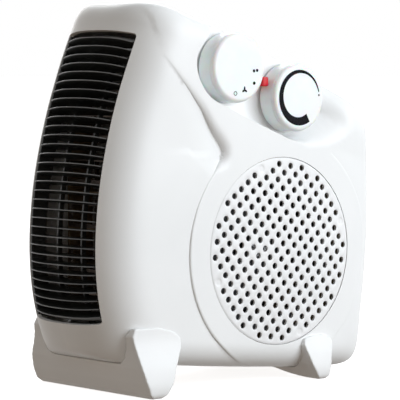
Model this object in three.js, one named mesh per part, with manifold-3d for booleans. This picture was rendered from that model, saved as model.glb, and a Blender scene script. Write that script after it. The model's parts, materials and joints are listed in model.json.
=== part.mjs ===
// Upright fan convector heater, in millimetres, +Z up.
// The outlet grille faces -Y, the controls and the round air intake are on the +X side,
// and the heater stands on two feet that run along X.  The origin is on the floor, under
// the middle of the heater.

import * as THREE from 'three';
import { mergeVertices } from 'three/addons/utils/BufferGeometryUtils.js';
import { ParametricGeometry } from 'three/addons/geometries/ParametricGeometry.js';
import Module from 'manifold-3d';

const wasm = await Module();
wasm.setup();

// ---------------------------------------------------------------- driving dimensions

const DRAWN_MIDDLE = 2.4;        // the side view's y at the middle of the heater
const GAP = 0.3;                 // clearance between separate pieces
const WALL = 2.5;                // moulded wall thickness
const HALF_WIDTH = 52;           // middle plane to the plain part of a broad face
const PANEL_RISE = 2;            // the keyhole panel stands this much proud of it
const FACE = HALF_WIDTH + PANEL_RISE;
const FRONT_DEPTH = 40;          // the front rounds over this depth into the broad faces
const EDGE_ROUND = 18;           // rounding of the top, rear and bottom edges
const FAN = { y: 30.75, z: 90 }; // fan, motor and intake axis, along X

const INTAKE = {
  radius: 64,                    // seam between the intake cover and the casing
  thickness: 2.5,
  dome: 2,
  pitch: 7.5,                    // between neighbouring holes
  hole: 2.1,                     // hole radius
  twist: THREE.MathUtils.degToRad(-8.94),
  reach: 125,                    // squared radius of the hole field, in half diagonals
};

const NICHE = { floor: 37.5 };   // the knobs stand in a niche whose floor is this plane
const FUNCTION_KNOB = { y: -6.7, z: 214.3, radius: 23.4, back: 39, front: 54 };
const THERMOSTAT_KNOB = { y: 48.3, z: 194, radius: 23.2, back: 39, front: 54 };
const SHAFT_RADIUS = 3;
const LENS = { y: 23, z: 205, width: 5.6, height: 6.4, front: 47.5 };

const GRILLE = {
  slats: 32,
  halfWidth: 35,                 // the opening wraps this far round both front corners
  start: 0.085,                  // where the opening starts and ends along the front curve
  end: 0.97,
  setBack: 1,
  back: 13.5,                    // the slats' straight rear edge
  slatThickness: 1.2,
};

// Half width of the feet and height above the floor, from the bottom up: the ends flare out.
const FOOT_FLARE = [[59, 0], [61, 2], [61.8, 5], [61.6, 10.5], [59.7, 20], [55.4, 30], [51.6, 39], [50, 48]];
const REST_PLANE = 61.8;         // widest point of the feet; the far side's pads reach as far
const REAR_ARCH = { height: 4.5, half: 52, rise: 0.0038 };
const SCREW = { headAt: -22, length: 44 };
const GLAND = { x: -22, z: 52, hole: 6.5, wall: 122 };
const COVER_SCREW = { headAt: 46.3, lug: 49 };
const FOOT_SCREWS = [-80, 66].flatMap((y) => [-30, 30].map((x) => [x, y, y < 0 ? 8 : 2.2]));
const MOTOR = { back: -31.3, front: -6.7, shaft: 2.5, stack: 18, rotor: 11 };
const MOTOR_POSTS = [[FAN.y - 22, FAN.z + 25], [FAN.y + 22, FAN.z + 25]];
const COOLING_SLOTS = Array.from({ length: 10 }, (_, i) => [FAN.y + 6 * (i - 4.5), FAN.z]);

// ---------------------------------------------------------------- solids and placing

function solidOf(geometry) {
  const bare = geometry.clone();
  for (const name of Object.keys(bare.attributes)) {
    if (name !== 'position') bare.deleteAttribute(name);
  }
  const merged = mergeVertices(bare, 1e-4);
  const index = merged.index.array;
  const faces = [];
  for (let i = 0; i < index.length; i += 3) {
    const [a, b, c] = index.slice(i, i + 3);
    if (a !== b && b !== c && c !== a) faces.push(a, b, c);
  }
  const mesh = new wasm.Mesh({
    numProp: 3,
    vertProperties: new Float32Array(merged.attributes.position.array),
    triVerts: new Uint32Array(faces),
  });
  return new wasm.Manifold(mesh);
}

function geometryOf(solid) {
  const mesh = solid.getMesh();
  const geometry = new THREE.BufferGeometry();
  geometry.setAttribute('position', new THREE.BufferAttribute(mesh.vertProperties, 3));
  geometry.setIndex(new THREE.BufferAttribute(mesh.triVerts, 1));
  geometry.computeVertexNormals();
  return geometry;
}

function placed(geometry, x, y, z) {
  return solidOf(geometry.translate(x, y, z));
}

// A box between two corners.
function block(x0, x1, y0, y1, z0, z1) {
  const geometry = new THREE.BoxGeometry(x1 - x0, y1 - y0, z1 - z0);
  return placed(geometry, (x0 + x1) / 2, (y0 + y1) / 2, (z0 + z1) / 2);
}

// A shape drawn in the side view, as (y, z), and extruded from x0 to x1.
function sidePlate(shape, x0, x1, curveSegments = 6) {
  const geometry = new THREE.ExtrudeGeometry(shape, {
    depth: x1 - x0,
    bevelEnabled: false,
    curveSegments,
  });
  const turn = new THREE.Matrix4().makeBasis(
    new THREE.Vector3(0, 1, 0),
    new THREE.Vector3(0, 0, 1),
    new THREE.Vector3(1, 0, 0),
  );
  return solidOf(geometry.applyMatrix4(turn).translate(x0, 0, 0));
}

// A round rod along X.
function rodX(radius, x0, x1, y, z, sides = 12) {
  const geometry = new THREE.CylinderGeometry(radius, radius, x1 - x0, sides);
  return placed(geometry.rotateZ(-Math.PI / 2), (x0 + x1) / 2, y, z);
}

// A round rod along Z.
function rodZ(radius, z0, z1, x, y, sides = 10) {
  const geometry = new THREE.CylinderGeometry(radius, radius, z1 - z0, sides);
  return placed(geometry.rotateX(Math.PI / 2), x, y, (z0 + z1) / 2);
}

// A turned piece along X; its profile is a list of [radius, x].
function turnedX(profile, y, z, sides = 24) {
  const points = profile.map(([radius, x]) => new THREE.Vector2(radius, x));
  const geometry = new THREE.LatheGeometry(points, sides);
  return placed(geometry.rotateZ(-Math.PI / 2), 0, y, z);
}

function joined(solids) {
  return solids.reduce((sum, solid) => sum.add(solid));
}

function cut(solid, tools) {
  return tools.reduce((rest, tool) => rest.subtract(tool), solid);
}

const point = (y, z) => new THREE.Vector2(y, z);

// ---------------------------------------------------------------- casing outline

// The side view's outline, and the edge of the flat broad face inside it.  Both are made
// of the same stretches, so that each outline point has its partner on the face edge.
const frontCurve = new THREE.CubicBezierCurve(
  point(-110, 30),
  point(-136.5, 94),
  point(-114.5, 180),
  point(-84, 245),
);

function frontNormal(t) {
  const along = frontCurve.getTangent(t);
  return point(-along.y, along.x);
}

function frontPoint(t, inset) {
  return frontCurve.getPoint(t).addScaledVector(frontNormal(t), -inset);
}

const arch = (a, b, c) => new THREE.QuadraticBezierCurve(point(...a), point(...b), point(...c));
const bend = (a, b, c, d) =>
  new THREE.CubicBezierCurve(point(...a), point(...b), point(...c), point(...d));

const OUTLINE = [
  { steps: 5, curve: bend([-84, 245], [-79, 258.5], [-69, 260.5], [-50, 252.3]) },
  { steps: 4, curve: arch([-50, 252.3], [25, 230], [105.5, 193]) },
  { steps: 4, curve: arch([105.5, 193], [123.5, 184.5], [123.4, 166]) },
  { steps: 3, curve: arch([123.4, 166], [129.5, 105], [119.2, 42]) },
  { steps: 5, curve: bend([119.2, 42], [116, 12], [119, 3.8], [92, 4.9]) },
  { steps: 3, curve: arch([92, 4.9], [10, 9.4], [-90, 21.5]) },
  { steps: 4, curve: arch([-90, 21.5], [-106.5, 23], [-110, 30]) },
];
const FACE_EDGE = [
  bend([-47.6, 228.4], [-45, 231.5], [-39, 231], [-33, 229]),
  arch([-33, 229], [18, 211.3], [93, 174.5]),
  arch([93, 174.5], [104.2, 168.7], [104.4, 158]),
  arch([104.4, 158], [104.5, 102], [97.5, 46]),
  bend([97.5, 46], [96.6, 30], [94, 22.5], [84, 23]),
  arch([84, 23], [10, 27], [-64, 36.5]),
  arch([-64, 36.5], [-70.5, 38.5], [-73.2, 45.6]),
];
const FRONT_STEPS = 12;
const ROUND_STEPS = 3;

const ease = (t) => t * t * (3 - 2 * t);

// Columns of the casing surface, once round the outline.  front is 1 where the section
// rounds across the whole width, and 0 where only the edge is rounded.
function casingColumns() {
  const columns = [];
  for (let i = 0; i < FRONT_STEPS; i += 1) {
    const t = i / FRONT_STEPS;
    columns.push({ rim: frontPoint(t, 0), face: frontPoint(t, FRONT_DEPTH), front: 1 });
  }
  OUTLINE.forEach(({ steps, curve }, stretch) => {
    for (let i = 0; i < steps; i += 1) {
      const t = i / steps;
      let front = 0;
      if (stretch === 0) front = 1 - ease(t);
      if (stretch === OUTLINE.length - 1) front = ease(t);
      columns.push({ rim: curve.getPoint(t), face: FACE_EDGE[stretch].getPoint(t), front });
    }
  });
  return columns;
}

// The rounded body of the casing, shrunk all over by inset.
function casingBody(halfWidth, inset) {
  const columns = casingColumns();
  const middle = point(15, 120);
  const rows = 2 * ROUND_STEPS + 3;
  const surface = (u, v, target) => {
    const column = columns[Math.round((1 - u) * columns.length) % columns.length];
    const row = Math.round(v * rows);
    const side = row <= ROUND_STEPS + 1 ? -1 : 1;
    const step = side < 0 ? ROUND_STEPS + 1 - row : row - ROUND_STEPS - 2;
    const half = halfWidth - inset;
    if (step > ROUND_STEPS) {
      target.set(side * half, middle.x, middle.y);
      return;
    }
    const angle = (step / ROUND_STEPS) * (Math.PI / 2);
    const power = 2 / (2.2 + 0.3 * column.front);
    const edge = EDGE_ROUND + halfWidth - HALF_WIDTH;
    const round = edge + (half - edge) * column.front;
    const inward = column.face.clone().sub(column.rim);
    const rim = column.rim.clone().addScaledVector(inward, inset / inward.length());
    const across = step === ROUND_STEPS ? 0 : Math.cos(angle) ** power;
    const p = rim.sub(column.face).multiplyScalar(across).add(column.face);
    target.set(side * (half - round + round * Math.sin(angle) ** power), p.x, p.y);
  };
  return solidOf(new ParametricGeometry(surface, columns.length, rows));
}

// ---------------------------------------------------------------- side-view shapes

function closedShape(points) {
  return new THREE.Shape(points);
}

// Moves every point of a closed outline outwards; the outline runs anticlockwise.
function grown(points, distance) {
  return points.map((p, i) => {
    const before = points.at(i - 1);
    const after = points[(i + 1) % points.length];
    const along = after.clone().sub(before).normalize();
    return point(p.x + along.y * distance, p.y - along.x * distance);
  });
}

function circlePoints(y, z, radius, sides, from = 0, to = 2 * Math.PI) {
  const whole = Math.abs(to - from) > 6.28;
  const steps = whole ? sides : sides - 1;
  return Array.from({ length: sides }, (_, i) => {
    const angle = from + ((to - from) * i) / steps;
    return point(y + radius * Math.cos(angle), z + radius * Math.sin(angle));
  });
}

const smooth = (pairs, steps) =>
  new THREE.SplineCurve(pairs.map((pair) => point(...pair))).getPoints(steps);

// The niche: an S-shaped wall under both knobs, open through the top of the casing.
const NICHE_WALL = [
  [-24, 262], [-29, 241], [-39, 229.5], [-44.5, 219.5], [-41.5, 206], [-31.5, 194.3],
  [-15, 187], [3, 179.5], [24, 171.5], [46, 163.8], [68, 162.3], [83, 166.5],
  [90.5, 176], [93, 190], [93, 230],
];

function nicheOutline(margin) {
  const wall = smooth(NICHE_WALL, 30);
  wall.push(point(93, 275), point(-24, 275));
  return grown(wall, margin);
}

// The raised panel: a disc round the intake, and a neck that widens up to the niche.
const PANEL_RADIUS = 81;
const NECK_LEFT = [[-75, 226], [-59, 206], [-48, 192], [-36.5, 179], [-25.5, 166.5], [-19, 161]];
const NECK_RIGHT = [[80, 158], [96, 166], [125, 174]];

function panelOutline() {
  const left = Math.atan2(153 - FAN.z, -20.6 - FAN.y);
  const right = Math.atan2(157 - FAN.z, 78 - FAN.y) + 2 * Math.PI;
  const disc = circlePoints(FAN.y, FAN.z, PANEL_RADIUS, 22, left, right);
  const ends = [point(135, 200), point(135, 270), point(-75, 270)];
  return [...smooth(NECK_LEFT, 8), ...disc, ...smooth(NECK_RIGHT, 4), ...ends];
}

// ---------------------------------------------------------------- casing

// Screw bosses of the casing, as [y, z]; the screws go in from the far side.
const BOSSES = [[-60, 226], [60, 176], [105, 150], [92, 24], [2, 24], [-72, 44]];
const BOSS_RADIUS = 4.6;
const BOSS_JOINT = 10;           // the near bosses end here, the far ones 0.3 mm short of it

function grilleWindow(halfWidth, grow) {
  const { start, end } = GRILLE;
  const steps = 8;
  const outer = [];
  const inner = [];
  for (let i = 0; i <= steps; i += 1) {
    const t = start + ((end - start) * i) / steps;
    outer.push(frontPoint(t, -12));
    inner.unshift(frontPoint(t, 30));
  }
  const shape = closedShape(grown([...inner, ...outer], grow).reverse());
  return sidePlate(shape, -halfWidth, halfWidth);
}

function casing() {
  const panelArea = sidePlate(closedShape(panelOutline()), 20, 60);
  const panel = cut(casingBody(FACE, 0).intersect(panelArea), [footBar(REAR_FOOT, GAP)]);
  const niche = sidePlate(closedShape(nicheOutline(0)), NICHE.floor, 60);
  const nicheWall = sidePlate(closedShape(nicheOutline(WALL)), NICHE.floor - WALL, 60);
  const outside = cut(casingBody(HALF_WIDTH, 0).add(panel), [niche]);
  const cavity = casingBody(HALF_WIDTH, WALL).subtract(nicheWall);
  return cut(outside, [cavity, grilleWindow(GRILLE.halfWidth + GAP, 0)]);
}

function halfSpace(side, from) {
  return side > 0 ? block(from, 80, -150, 150, -20, 280) : block(-80, from, -150, 150, -20, 280);
}

function nearShell(whole) {
  const bosses = BOSSES.map(([y, z]) => rodX(BOSS_RADIUS, BOSS_JOINT, HALF_WIDTH - 1, y, z, 10));
  const limit = casingBody(HALF_WIDTH, 0.5).subtract(
    sidePlate(closedShape(nicheOutline(0.5)), NICHE.floor - 0.5, 60),
  );
  const holders = joined(bosses).intersect(limit);
  const pilots = BOSSES.map(([y, z]) => rodX(1.9, 0, 26, y, z, 8));
  const holes = [
    rodX(INTAKE.radius, FACE - INTAKE.thickness - GAP, 70, FAN.y, FAN.z, 48),
    rodX(INTAKE.radius - 3, 40, 70, FAN.y, FAN.z, 48),
    rodX(SHAFT_RADIUS + 1.5, 30, 45, FUNCTION_KNOB.y, FUNCTION_KNOB.z, 12),
    rodX(SHAFT_RADIUS + 1.5, 30, 45, THERMOSTAT_KNOB.y, THERMOSTAT_KNOB.z, 12),
    lensBlock(GAP, 30, 45),
  ];
  const half = cut(whole.intersect(halfSpace(1, 0.15)).add(holders), [...pilots, ...holes]);
  const lugs = COVER_FIXINGS.map(([i, j]) =>
    rodX(6, COVER_SCREW.lug, FACE - INTAKE.thickness - GAP, ...gridPlace(i, j), 12));
  const footBosses = footPosts(1);
  return cut(joined([half, ...lugs, ...footBosses]), [...coverFixings(3.3), ...footPilots()]);
}

function farShell(whole) {
  const bosses = BOSSES.map(([y, z]) =>
    rodX(BOSS_RADIUS, 1 - HALF_WIDTH, BOSS_JOINT - GAP, y, z, 10));
  const holders = joined(bosses).intersect(casingBody(HALF_WIDTH, 0.5));
  const bores = BOSSES.flatMap(([y, z]) => [
    rodX(3.9, -70, SCREW.headAt + 2.4 + GAP, y, z, 10),
    rodX(1.9, -70, 20, y, z, 8),
  ]);
  const holes = [
    rodY(GLAND.hole, GLAND.wall - 20, GLAND.wall + 10, GLAND.x, GLAND.z, 14),
    ...COOLING_SLOTS.map(([y, z]) => block(-60, -45, y - 1.5, y + 1.5, z - 13, z + 13)),
  ];
  const posts = MOTOR_POSTS.map(([y, z]) => rodX(4, 1 - HALF_WIDTH, MOTOR.back - GAP, y, z, 10));
  const pilots = MOTOR_POSTS.map(([y, z]) => rodX(1.7, MOTOR.back - 9, 0, y, z, 8));
  const half = whole.intersect(halfSpace(-1, -0.15));
  const solids = [half, holders, ...posts, ...footPosts(-1)];
  return cut(joined(solids), [...bores, ...holes, ...pilots, ...footPilots()]);
}

// Inner posts that take the foot screws, on the side of the middle plane asked for.
function footPosts(side) {
  return FOOT_SCREWS.filter(([x]) => x * side > 0).map(([x, y, headAt]) =>
    rodZ(4.2, headAt + 2, headAt + 19, x, y, 8).intersect(casingBody(HALF_WIDTH, 0.5)));
}

const footPilots = () =>
  FOOT_SCREWS.map(([x, y, headAt]) => rodZ(1.8, headAt - 5, headAt + 17, x, y, 6));

const coverFixings = (radius) =>
  COVER_FIXINGS.map(([i, j]) => rodX(radius, 45, FACE - INTAKE.thickness, ...gridPlace(i, j), 10));

// ---------------------------------------------------------------- casing fittings

function rodY(radius, y0, y1, x, z, sides = 12) {
  const geometry = new THREE.CylinderGeometry(radius, radius, y1 - y0, sides);
  return placed(geometry, x, (y0 + y1) / 2, z);
}

// A pan head screw along X: the head starts at x and the tip is at x + length.
function screwX(x, length, y, z, head = 3.5, shank = 1.5) {
  const turn = Math.sign(length);
  const under = x + turn * 2.4;
  const profile = [[0, x], [head, x], [head, under], [shank, under], [shank, x + length]];
  profile.push([0, x + length]);
  return turnedX(turn > 0 ? profile : profile.reverse(), y, z, 7);
}

function screwZ(z, length, x, y) {
  const solid = screwX(0, length, 0, 0);
  return solid.rotate([0, -90, 0]).translate([x, y, z]);
}

// The air intake cover: a slightly domed disc with a square grid of holes turned by 45
// degrees; four places in the grid stay closed, over the screws that hold the cover.
const COVER_FIXINGS = [[-5, 10], [10, 5], [5, -10], [-10, -5]];

function gridPlace(i, j) {
  const step = INTAKE.pitch / Math.SQRT2;
  const [cos, sin] = [Math.cos(INTAKE.twist), Math.sin(INTAKE.twist)];
  return [FAN.y + step * (cos * i - sin * j), FAN.z + step * (sin * i + cos * j)];
}

function intakeHoles() {
  const closed = COVER_FIXINGS.map(([i, j]) => `${i},${j}`);
  const places = [];
  for (let i = -11; i <= 11; i += 1) {
    for (let j = -11; j <= 11; j += 1) {
      const inReach = i * i + j * j <= INTAKE.reach;
      const odd = (i + j) % 2 !== 0;
      if (inReach && odd && !closed.includes(`${i},${j}`)) places.push(gridPlace(i, j));
    }
  }
  return places;
}

function intakeCover() {
  const radius = INTAKE.radius - GAP;
  const shape = closedShape(circlePoints(FAN.y, FAN.z, radius, 48));
  shape.holes = intakeHoles().map(([y, z]) =>
    new THREE.Path(circlePoints(y, z, INTAKE.hole, 4, 0, 2 * Math.PI)));
  const plate = new THREE.ExtrudeGeometry(shape, { depth: INTAKE.thickness, bevelEnabled: false });
  const turn = new THREE.Matrix4().makeBasis(
    new THREE.Vector3(0, 1, 0),
    new THREE.Vector3(0, 0, 1),
    new THREE.Vector3(1, 0, 0),
  );
  plate.applyMatrix4(turn);
  const place = plate.attributes.position;
  for (let i = 0; i < place.count; i += 1) {
    const r = Math.hypot(place.getY(i) - FAN.y, place.getZ(i) - FAN.z);
    const rise = INTAKE.dome * (1 - (r / INTAKE.radius) ** 2);
    place.setX(i, place.getX(i) + FACE - INTAKE.thickness + rise);
  }
  const bosses = COVER_FIXINGS.map(([i, j]) =>
    rodX(3, COVER_SCREW.lug - GAP, FACE - INTAKE.thickness + 1, ...gridPlace(i, j), 10));
  const pilots = COVER_FIXINGS.map(([i, j]) => rodX(1.4, 40, 51.4, ...gridPlace(i, j), 8));
  return cut(joined([solidOf(plate), ...bosses]), pilots);
}

// ---------------------------------------------------------------- outlet grille

const frontInset = (x) =>
  FRONT_DEPTH * (1 - (1 - (Math.abs(x) / HALF_WIDTH) ** 2.5) ** 0.4);

// A strip across the front in the plane of the outline's normal, thick along the outline.
function crossStrip(t, thickness, near, deep) {
  const steps = 4;
  const half = GRILLE.halfWidth - 0.8;
  const outer = [];
  for (let i = 0; i <= steps; i += 1) {
    const x = half * Math.sin(((i / steps) * 2 - 1) * (Math.PI / 2));
    outer.push(point(x, frontInset(x) + near));
  }
  const inner = [point(half, deep), point(-half, deep)];
  const geometry = new THREE.ExtrudeGeometry(closedShape([...outer, ...inner]), {
    depth: thickness,
    bevelEnabled: false,
  });
  const normal = frontNormal(t);
  const origin = frontCurve.getPoint(t);
  const basis = new THREE.Matrix4().makeBasis(
    new THREE.Vector3(1, 0, 0),
    new THREE.Vector3(0, -normal.x, -normal.y),
    new THREE.Vector3(0, normal.y, -normal.x),
  );
  geometry.translate(0, 0, -thickness / 2).applyMatrix4(basis);
  return placed(geometry, 0, origin.x, origin.y);
}

// An upright bar that follows the front curve from slat to slat.
function uprightBar(x0, x1, near, deep) {
  const steps = 8;
  const outer = [];
  const inner = [];
  for (let i = 0; i <= steps; i += 1) {
    const t = GRILLE.start + 0.004 + ((GRILLE.end - GRILLE.start - 0.008) * i) / steps;
    outer.push(frontPoint(t, near));
    inner.unshift(frontPoint(t, deep));
  }
  return sidePlate(closedShape([...outer, ...inner]), x0, x1);
}

function outletGrille() {
  const { slats, halfWidth, start, end, setBack, back, slatThickness } = GRILLE;
  const edge = frontInset(halfWidth);
  const pieces = [
    uprightBar(halfWidth - 1.6, halfWidth, edge + setBack, back),
    uprightBar(-halfWidth, 1.6 - halfWidth, edge + setBack, back),
    uprightBar(12, 13.5, back - 0.5, back + 3),
    uprightBar(-13.5, -12, back - 0.5, back + 3),
  ];
  const margin = 0.022;
  for (let i = 0; i < slats; i += 1) {
    const t = start + margin + ((end - start - 2 * margin) * i) / (slats - 1);
    pieces.push(crossStrip(t, slatThickness, setBack, back));
  }
  const band = 3;
  pieces.push(crossStrip(start + 0.011, band, setBack, back));
  pieces.push(crossStrip(end - 0.011, band, setBack, back));
  return joined(pieces);
}

// ---------------------------------------------------------------- feet and pads

// A foot is a bar across the underside whose ends rise over both broad faces.
const FRONT_FOOT = [
  [-96, 46], [-98.6, 41], [-96.9, 32], [-95.5, 20], [-92.8, 10], [-90, 3], [-87, 0],
  [-78.5, 0], [-75, 2.8], [-71, 8.5], [-65.6, 21], [-59, 31], [-58, 37], [-63, 42], [-76, 45.5],
];
const REAR_FOOT = [
  [50.2, 25], [50.8, 21], [54.6, 11], [57.6, 6], [60.5, 1.8], [62.3, 0], [69, 0], [70.8, 2],
  [73.7, 16], [77, 25], [75.5, 28.5], [70, 30], [58, 30], [52, 28.5],
];

function footBar(outline, grow) {
  const left = FOOT_FLARE.map(([x, z]) => point(-x, z)).reverse();
  const right = FOOT_FLARE.map(([x, z]) => point(x, z));
  const front = new THREE.ExtrudeGeometry(closedShape([...left, ...right]), {
    depth: 300,
    bevelEnabled: false,
  });
  const ends = placed(front.rotateX(Math.PI / 2), 0, 150, 0);
  const bar = sidePlate(closedShape(grown(outline.map((pair) => point(...pair)), grow)), -70, 70);
  return grow > 0 ? bar : bar.intersect(ends);
}

function foot(outline) {
  const bores = FOOT_SCREWS.flatMap(([x, y, headAt]) => [
    rodZ(3.9, -1, headAt + 2.4 + GAP, x, y, 10),
    rodZ(1.9, -1, 40, x, y, 8),
  ]);
  return cut(footBar(outline, 0), [casingBody(HALF_WIDTH, -1.2 * GAP), ...bores]);
}

// The rear foot's underside is arched, so that it stands on its two ends.
function rearFoot() {
  const { height, half, rise } = REAR_ARCH;
  const arc = Array.from({ length: 13 }, (_, i) => {
    const x = -half + (2 * half * i) / 12;
    return point(x, Math.min(height, rise * (half - Math.abs(x)) ** 2));
  });
  const under = new THREE.ExtrudeGeometry(
    closedShape([point(half, -5), point(-half, -5), ...arc].reverse()),
    { depth: 60, bevelEnabled: false },
  );
  return foot(REAR_FOOT).subtract(placed(under.rotateX(Math.PI / 2), 0, 100, 0));
}

const REST_PADS = [[-30, 204], [84, 148]];

function restPad(y, z) {
  const back = -HALF_WIDTH - GAP;
  const front = -REST_PLANE;
  return turnedX([[0, front], [7, front], [8.5, front + 1.5], [8.5, back], [0, back]], y, z, 16);
}

function cordGland() {
  const wallAt = GLAND.wall + GAP;
  const collar = rodY(9, wallAt, wallAt + 3, GLAND.x, GLAND.z, 16);
  const neck = rodY(GLAND.hole - GAP, GLAND.wall - 17, wallAt + 1, GLAND.x, GLAND.z, 14);
  const lead = rodY(3.6, GLAND.wall - 25, GLAND.wall + 10, GLAND.x, GLAND.z, 12);
  return collar.add(neck).subtract(lead);
}

// ---------------------------------------------------------------- controls

// A control knob: a cup with a chamfered face and a hub bored for its shaft.
function knob({ y, z, radius, back, front }, bore) {
  const profile = [
    [0, front], [radius - 1.5, front],
    [radius, front - 1.5], [radius, back], [radius - 2.2, back], [radius - 2.2, front - 3],
    [6.5, front - 3], [6.5, back], [0, back],
  ];
  return turnedX(profile.reverse(), y, z, 28).subtract(rodX(bore, 0, front - 4, y, z, 12));
}

function controlShaft({ y, z, front }, start) {
  const rod = rodX(SHAFT_RADIUS, start, front - 4.5, y, z, 12);
  const flat = block(front - 14, front, y + 1.8, y + 5, z - 5, z + 5);
  return rod.subtract(flat);
}

function lensBlock(margin, x0, x1) {
  const [w, h] = [LENS.width / 2 + margin, LENS.height / 2 + margin];
  return block(x0, x1, LENS.y - w, LENS.y + w, LENS.z - h, LENS.z + h);
}

function indicatorLens() {
  const flange = block(32, NICHE.floor - WALL - GAP, LENS.y - 5, LENS.y + 5, LENS.z - 6, LENS.z + 6);
  const lamp = rodX(2, 0, 44, LENS.y, LENS.z, 10);
  return lensBlock(0, 32.5, LENS.front).add(flange).subtract(lamp);
}

function neonLamp() {
  const bulb = turnedX([[0, 16], [1.2, 16], [1.7, 18], [1.7, 41], [0.9, 43], [0, 43]],
    LENS.y, LENS.z, 10);
  return bulb;
}

// The rotary switch: a flat housing with a ring of terminals.
function rotarySwitch() {
  const { y, z } = FUNCTION_KNOB;
  const body = block(14, 34.5, y - 14, y + 14, z - 13, z + 13);
  const tabs = [-9, -3, 3, 9].map((dy) => block(6, 15, y + dy - 2, y + dy + 2, z - 10, z - 9));
  const bore = rodX(SHAFT_RADIUS + GAP, 19, 40, y, z, 12);
  return joined([body, ...tabs]).subtract(bore);
}

function thermostat() {
  const { y, z } = THERMOSTAT_KNOB;
  const base = block(21, 25, y - 12, y + 12, z - 9, z + 9);
  const tower = rodX(6.5, 24, 34.5, y, z, 12);
  const contact = block(12, 22, y - 11, y - 5, z - 4, z + 4);
  const strip = block(14, 15.2, y - 6, y + 16, z - 4, z + 4);
  const bore = rodX(SHAFT_RADIUS + GAP, 22, 40, y, z, 12);
  return joined([base, tower, contact, strip]).subtract(bore);
}

// ---------------------------------------------------------------- fan and motor

const IMPELLER = { radius: 56, back: 8, front: 43, blades: 20 };

function impeller() {
  const { radius, back, front, blades } = IMPELLER;
  const disc = turnedX([[0, back], [radius, back], [radius, back + 1.8], [0, back + 1.8]],
    FAN.y, FAN.z, 32);
  const ring = turnedX(
    [[radius - 9, front - 2], [radius, front - 2], [radius, front], [radius - 9, front],
      [radius - 9, front - 2]], FAN.y, FAN.z, 32);
  const hub = rodX(8, back, back + 18, FAN.y, FAN.z, 16);
  const vanes = Array.from({ length: blades }, (_, i) => {
    const blade = new THREE.BoxGeometry(front - back - 2.4, 14, 1.4);
    blade.rotateX(THREE.MathUtils.degToRad(38));
    blade.translate((front + back) / 2, 0, 0).translate(0, radius - 6.5, 0);
    return placed(blade.rotateX((i / blades) * 2 * Math.PI), 0, FAN.y, FAN.z);
  });
  const rim = turnedX([[0, 0], [radius, 0], [radius, 50], [0, 50]], FAN.y, FAN.z, 32);
  const wheel = joined([disc, ring, hub, ...vanes.map((vane) => vane.intersect(rim))]);
  return wheel.subtract(rodX(MOTOR.shaft + GAP / 2, 0, 60, FAN.y, FAN.z, 12));
}

// Shaded-pole motor: a C-shaped lamination stack with the coil on its lower limb.
function motorStator() {
  const { y, z } = FAN;
  const mid = (MOTOR.back + MOTOR.front) / 2;
  const [x0, x1] = [mid - MOTOR.stack / 2, mid + MOTOR.stack / 2];
  const poles = block(x0, x1, y - 32, y + 32, z - 20, z + 20);
  const lower = block(x0, x1, y - 32, y + 32, z - 46, z - 34);
  const legs = [-1, 1].map((side) =>
    block(x0, x1, y + side * 32 - (side > 0 ? 12 : 0), y + side * 32 + (side > 0 ? 0 : 12),
      z - 35, z - 19));
  return joined([poles, lower, ...legs]).subtract(rodX(MOTOR.rotor + 0.5, -60, 60, y, z, 20));
}

function motorCoil() {
  const { y, z } = FAN;
  const mid = (MOTOR.back + MOTOR.front) / 2;
  const winding = block(mid - 14, mid + 14, y - 15, y + 15, z - 52, z - 26);
  const core = block(mid - MOTOR.stack / 2 - GAP, mid + MOTOR.stack / 2 + GAP, y - 40, y + 40,
    z - 46 - GAP, z - 34 + GAP);
  return winding.subtract(core);
}

// A bearing bracket: a bar across the stack with a boss that holds the bush.
function bearingBracket(side) {
  const { y, z } = FAN;
  const mid = (MOTOR.back + MOTOR.front) / 2;
  const face = mid + side * (MOTOR.stack / 2 + GAP);
  const [x0, x1] = side > 0 ? [face, face + 3] : [face - 3, face];
  const bar = block(x0, x1, y - 30, y + 30, z - 7, z + 7);
  const arms = [-1, 1].map((end) =>
    block(x0, x1, y + end * 22 - 5, y + end * 22 + 5, z - 2, z + 30));
  const boss = side > 0 ? rodX(8, x0, x1 + 3, y, z, 16) : rodX(8, x0 - 3, x1, y, z, 16);
  const bolts = MOTOR_POSTS.map(([py, pz]) => rodX(1.9, -70, 20, py, pz, 8));
  const bore = rodX(4.5 + GAP, -70, 20, y, z, 16);
  return cut(joined(side > 0 ? [bar, boss] : [bar, boss, ...arms]), [bore, ...bolts]);
}

function bearingBush(side) {
  const mid = (MOTOR.back + MOTOR.front) / 2;
  const x = mid + side * (MOTOR.stack / 2 + 3.3);
  const bush = rodX(4.5, x - 2.8, x + 2.8, FAN.y, FAN.z, 16);
  return bush.subtract(rodX(MOTOR.shaft + 0.1, -70, 60, FAN.y, FAN.z, 12));
}

function motorRotor() {
  const mid = (MOTOR.back + MOTOR.front) / 2;
  const rotor = rodX(MOTOR.rotor, mid - 8, mid + 8, FAN.y, FAN.z, 20);
  return rotor.subtract(rodX(MOTOR.shaft + GAP, -70, 60, FAN.y, FAN.z, 12));
}

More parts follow.
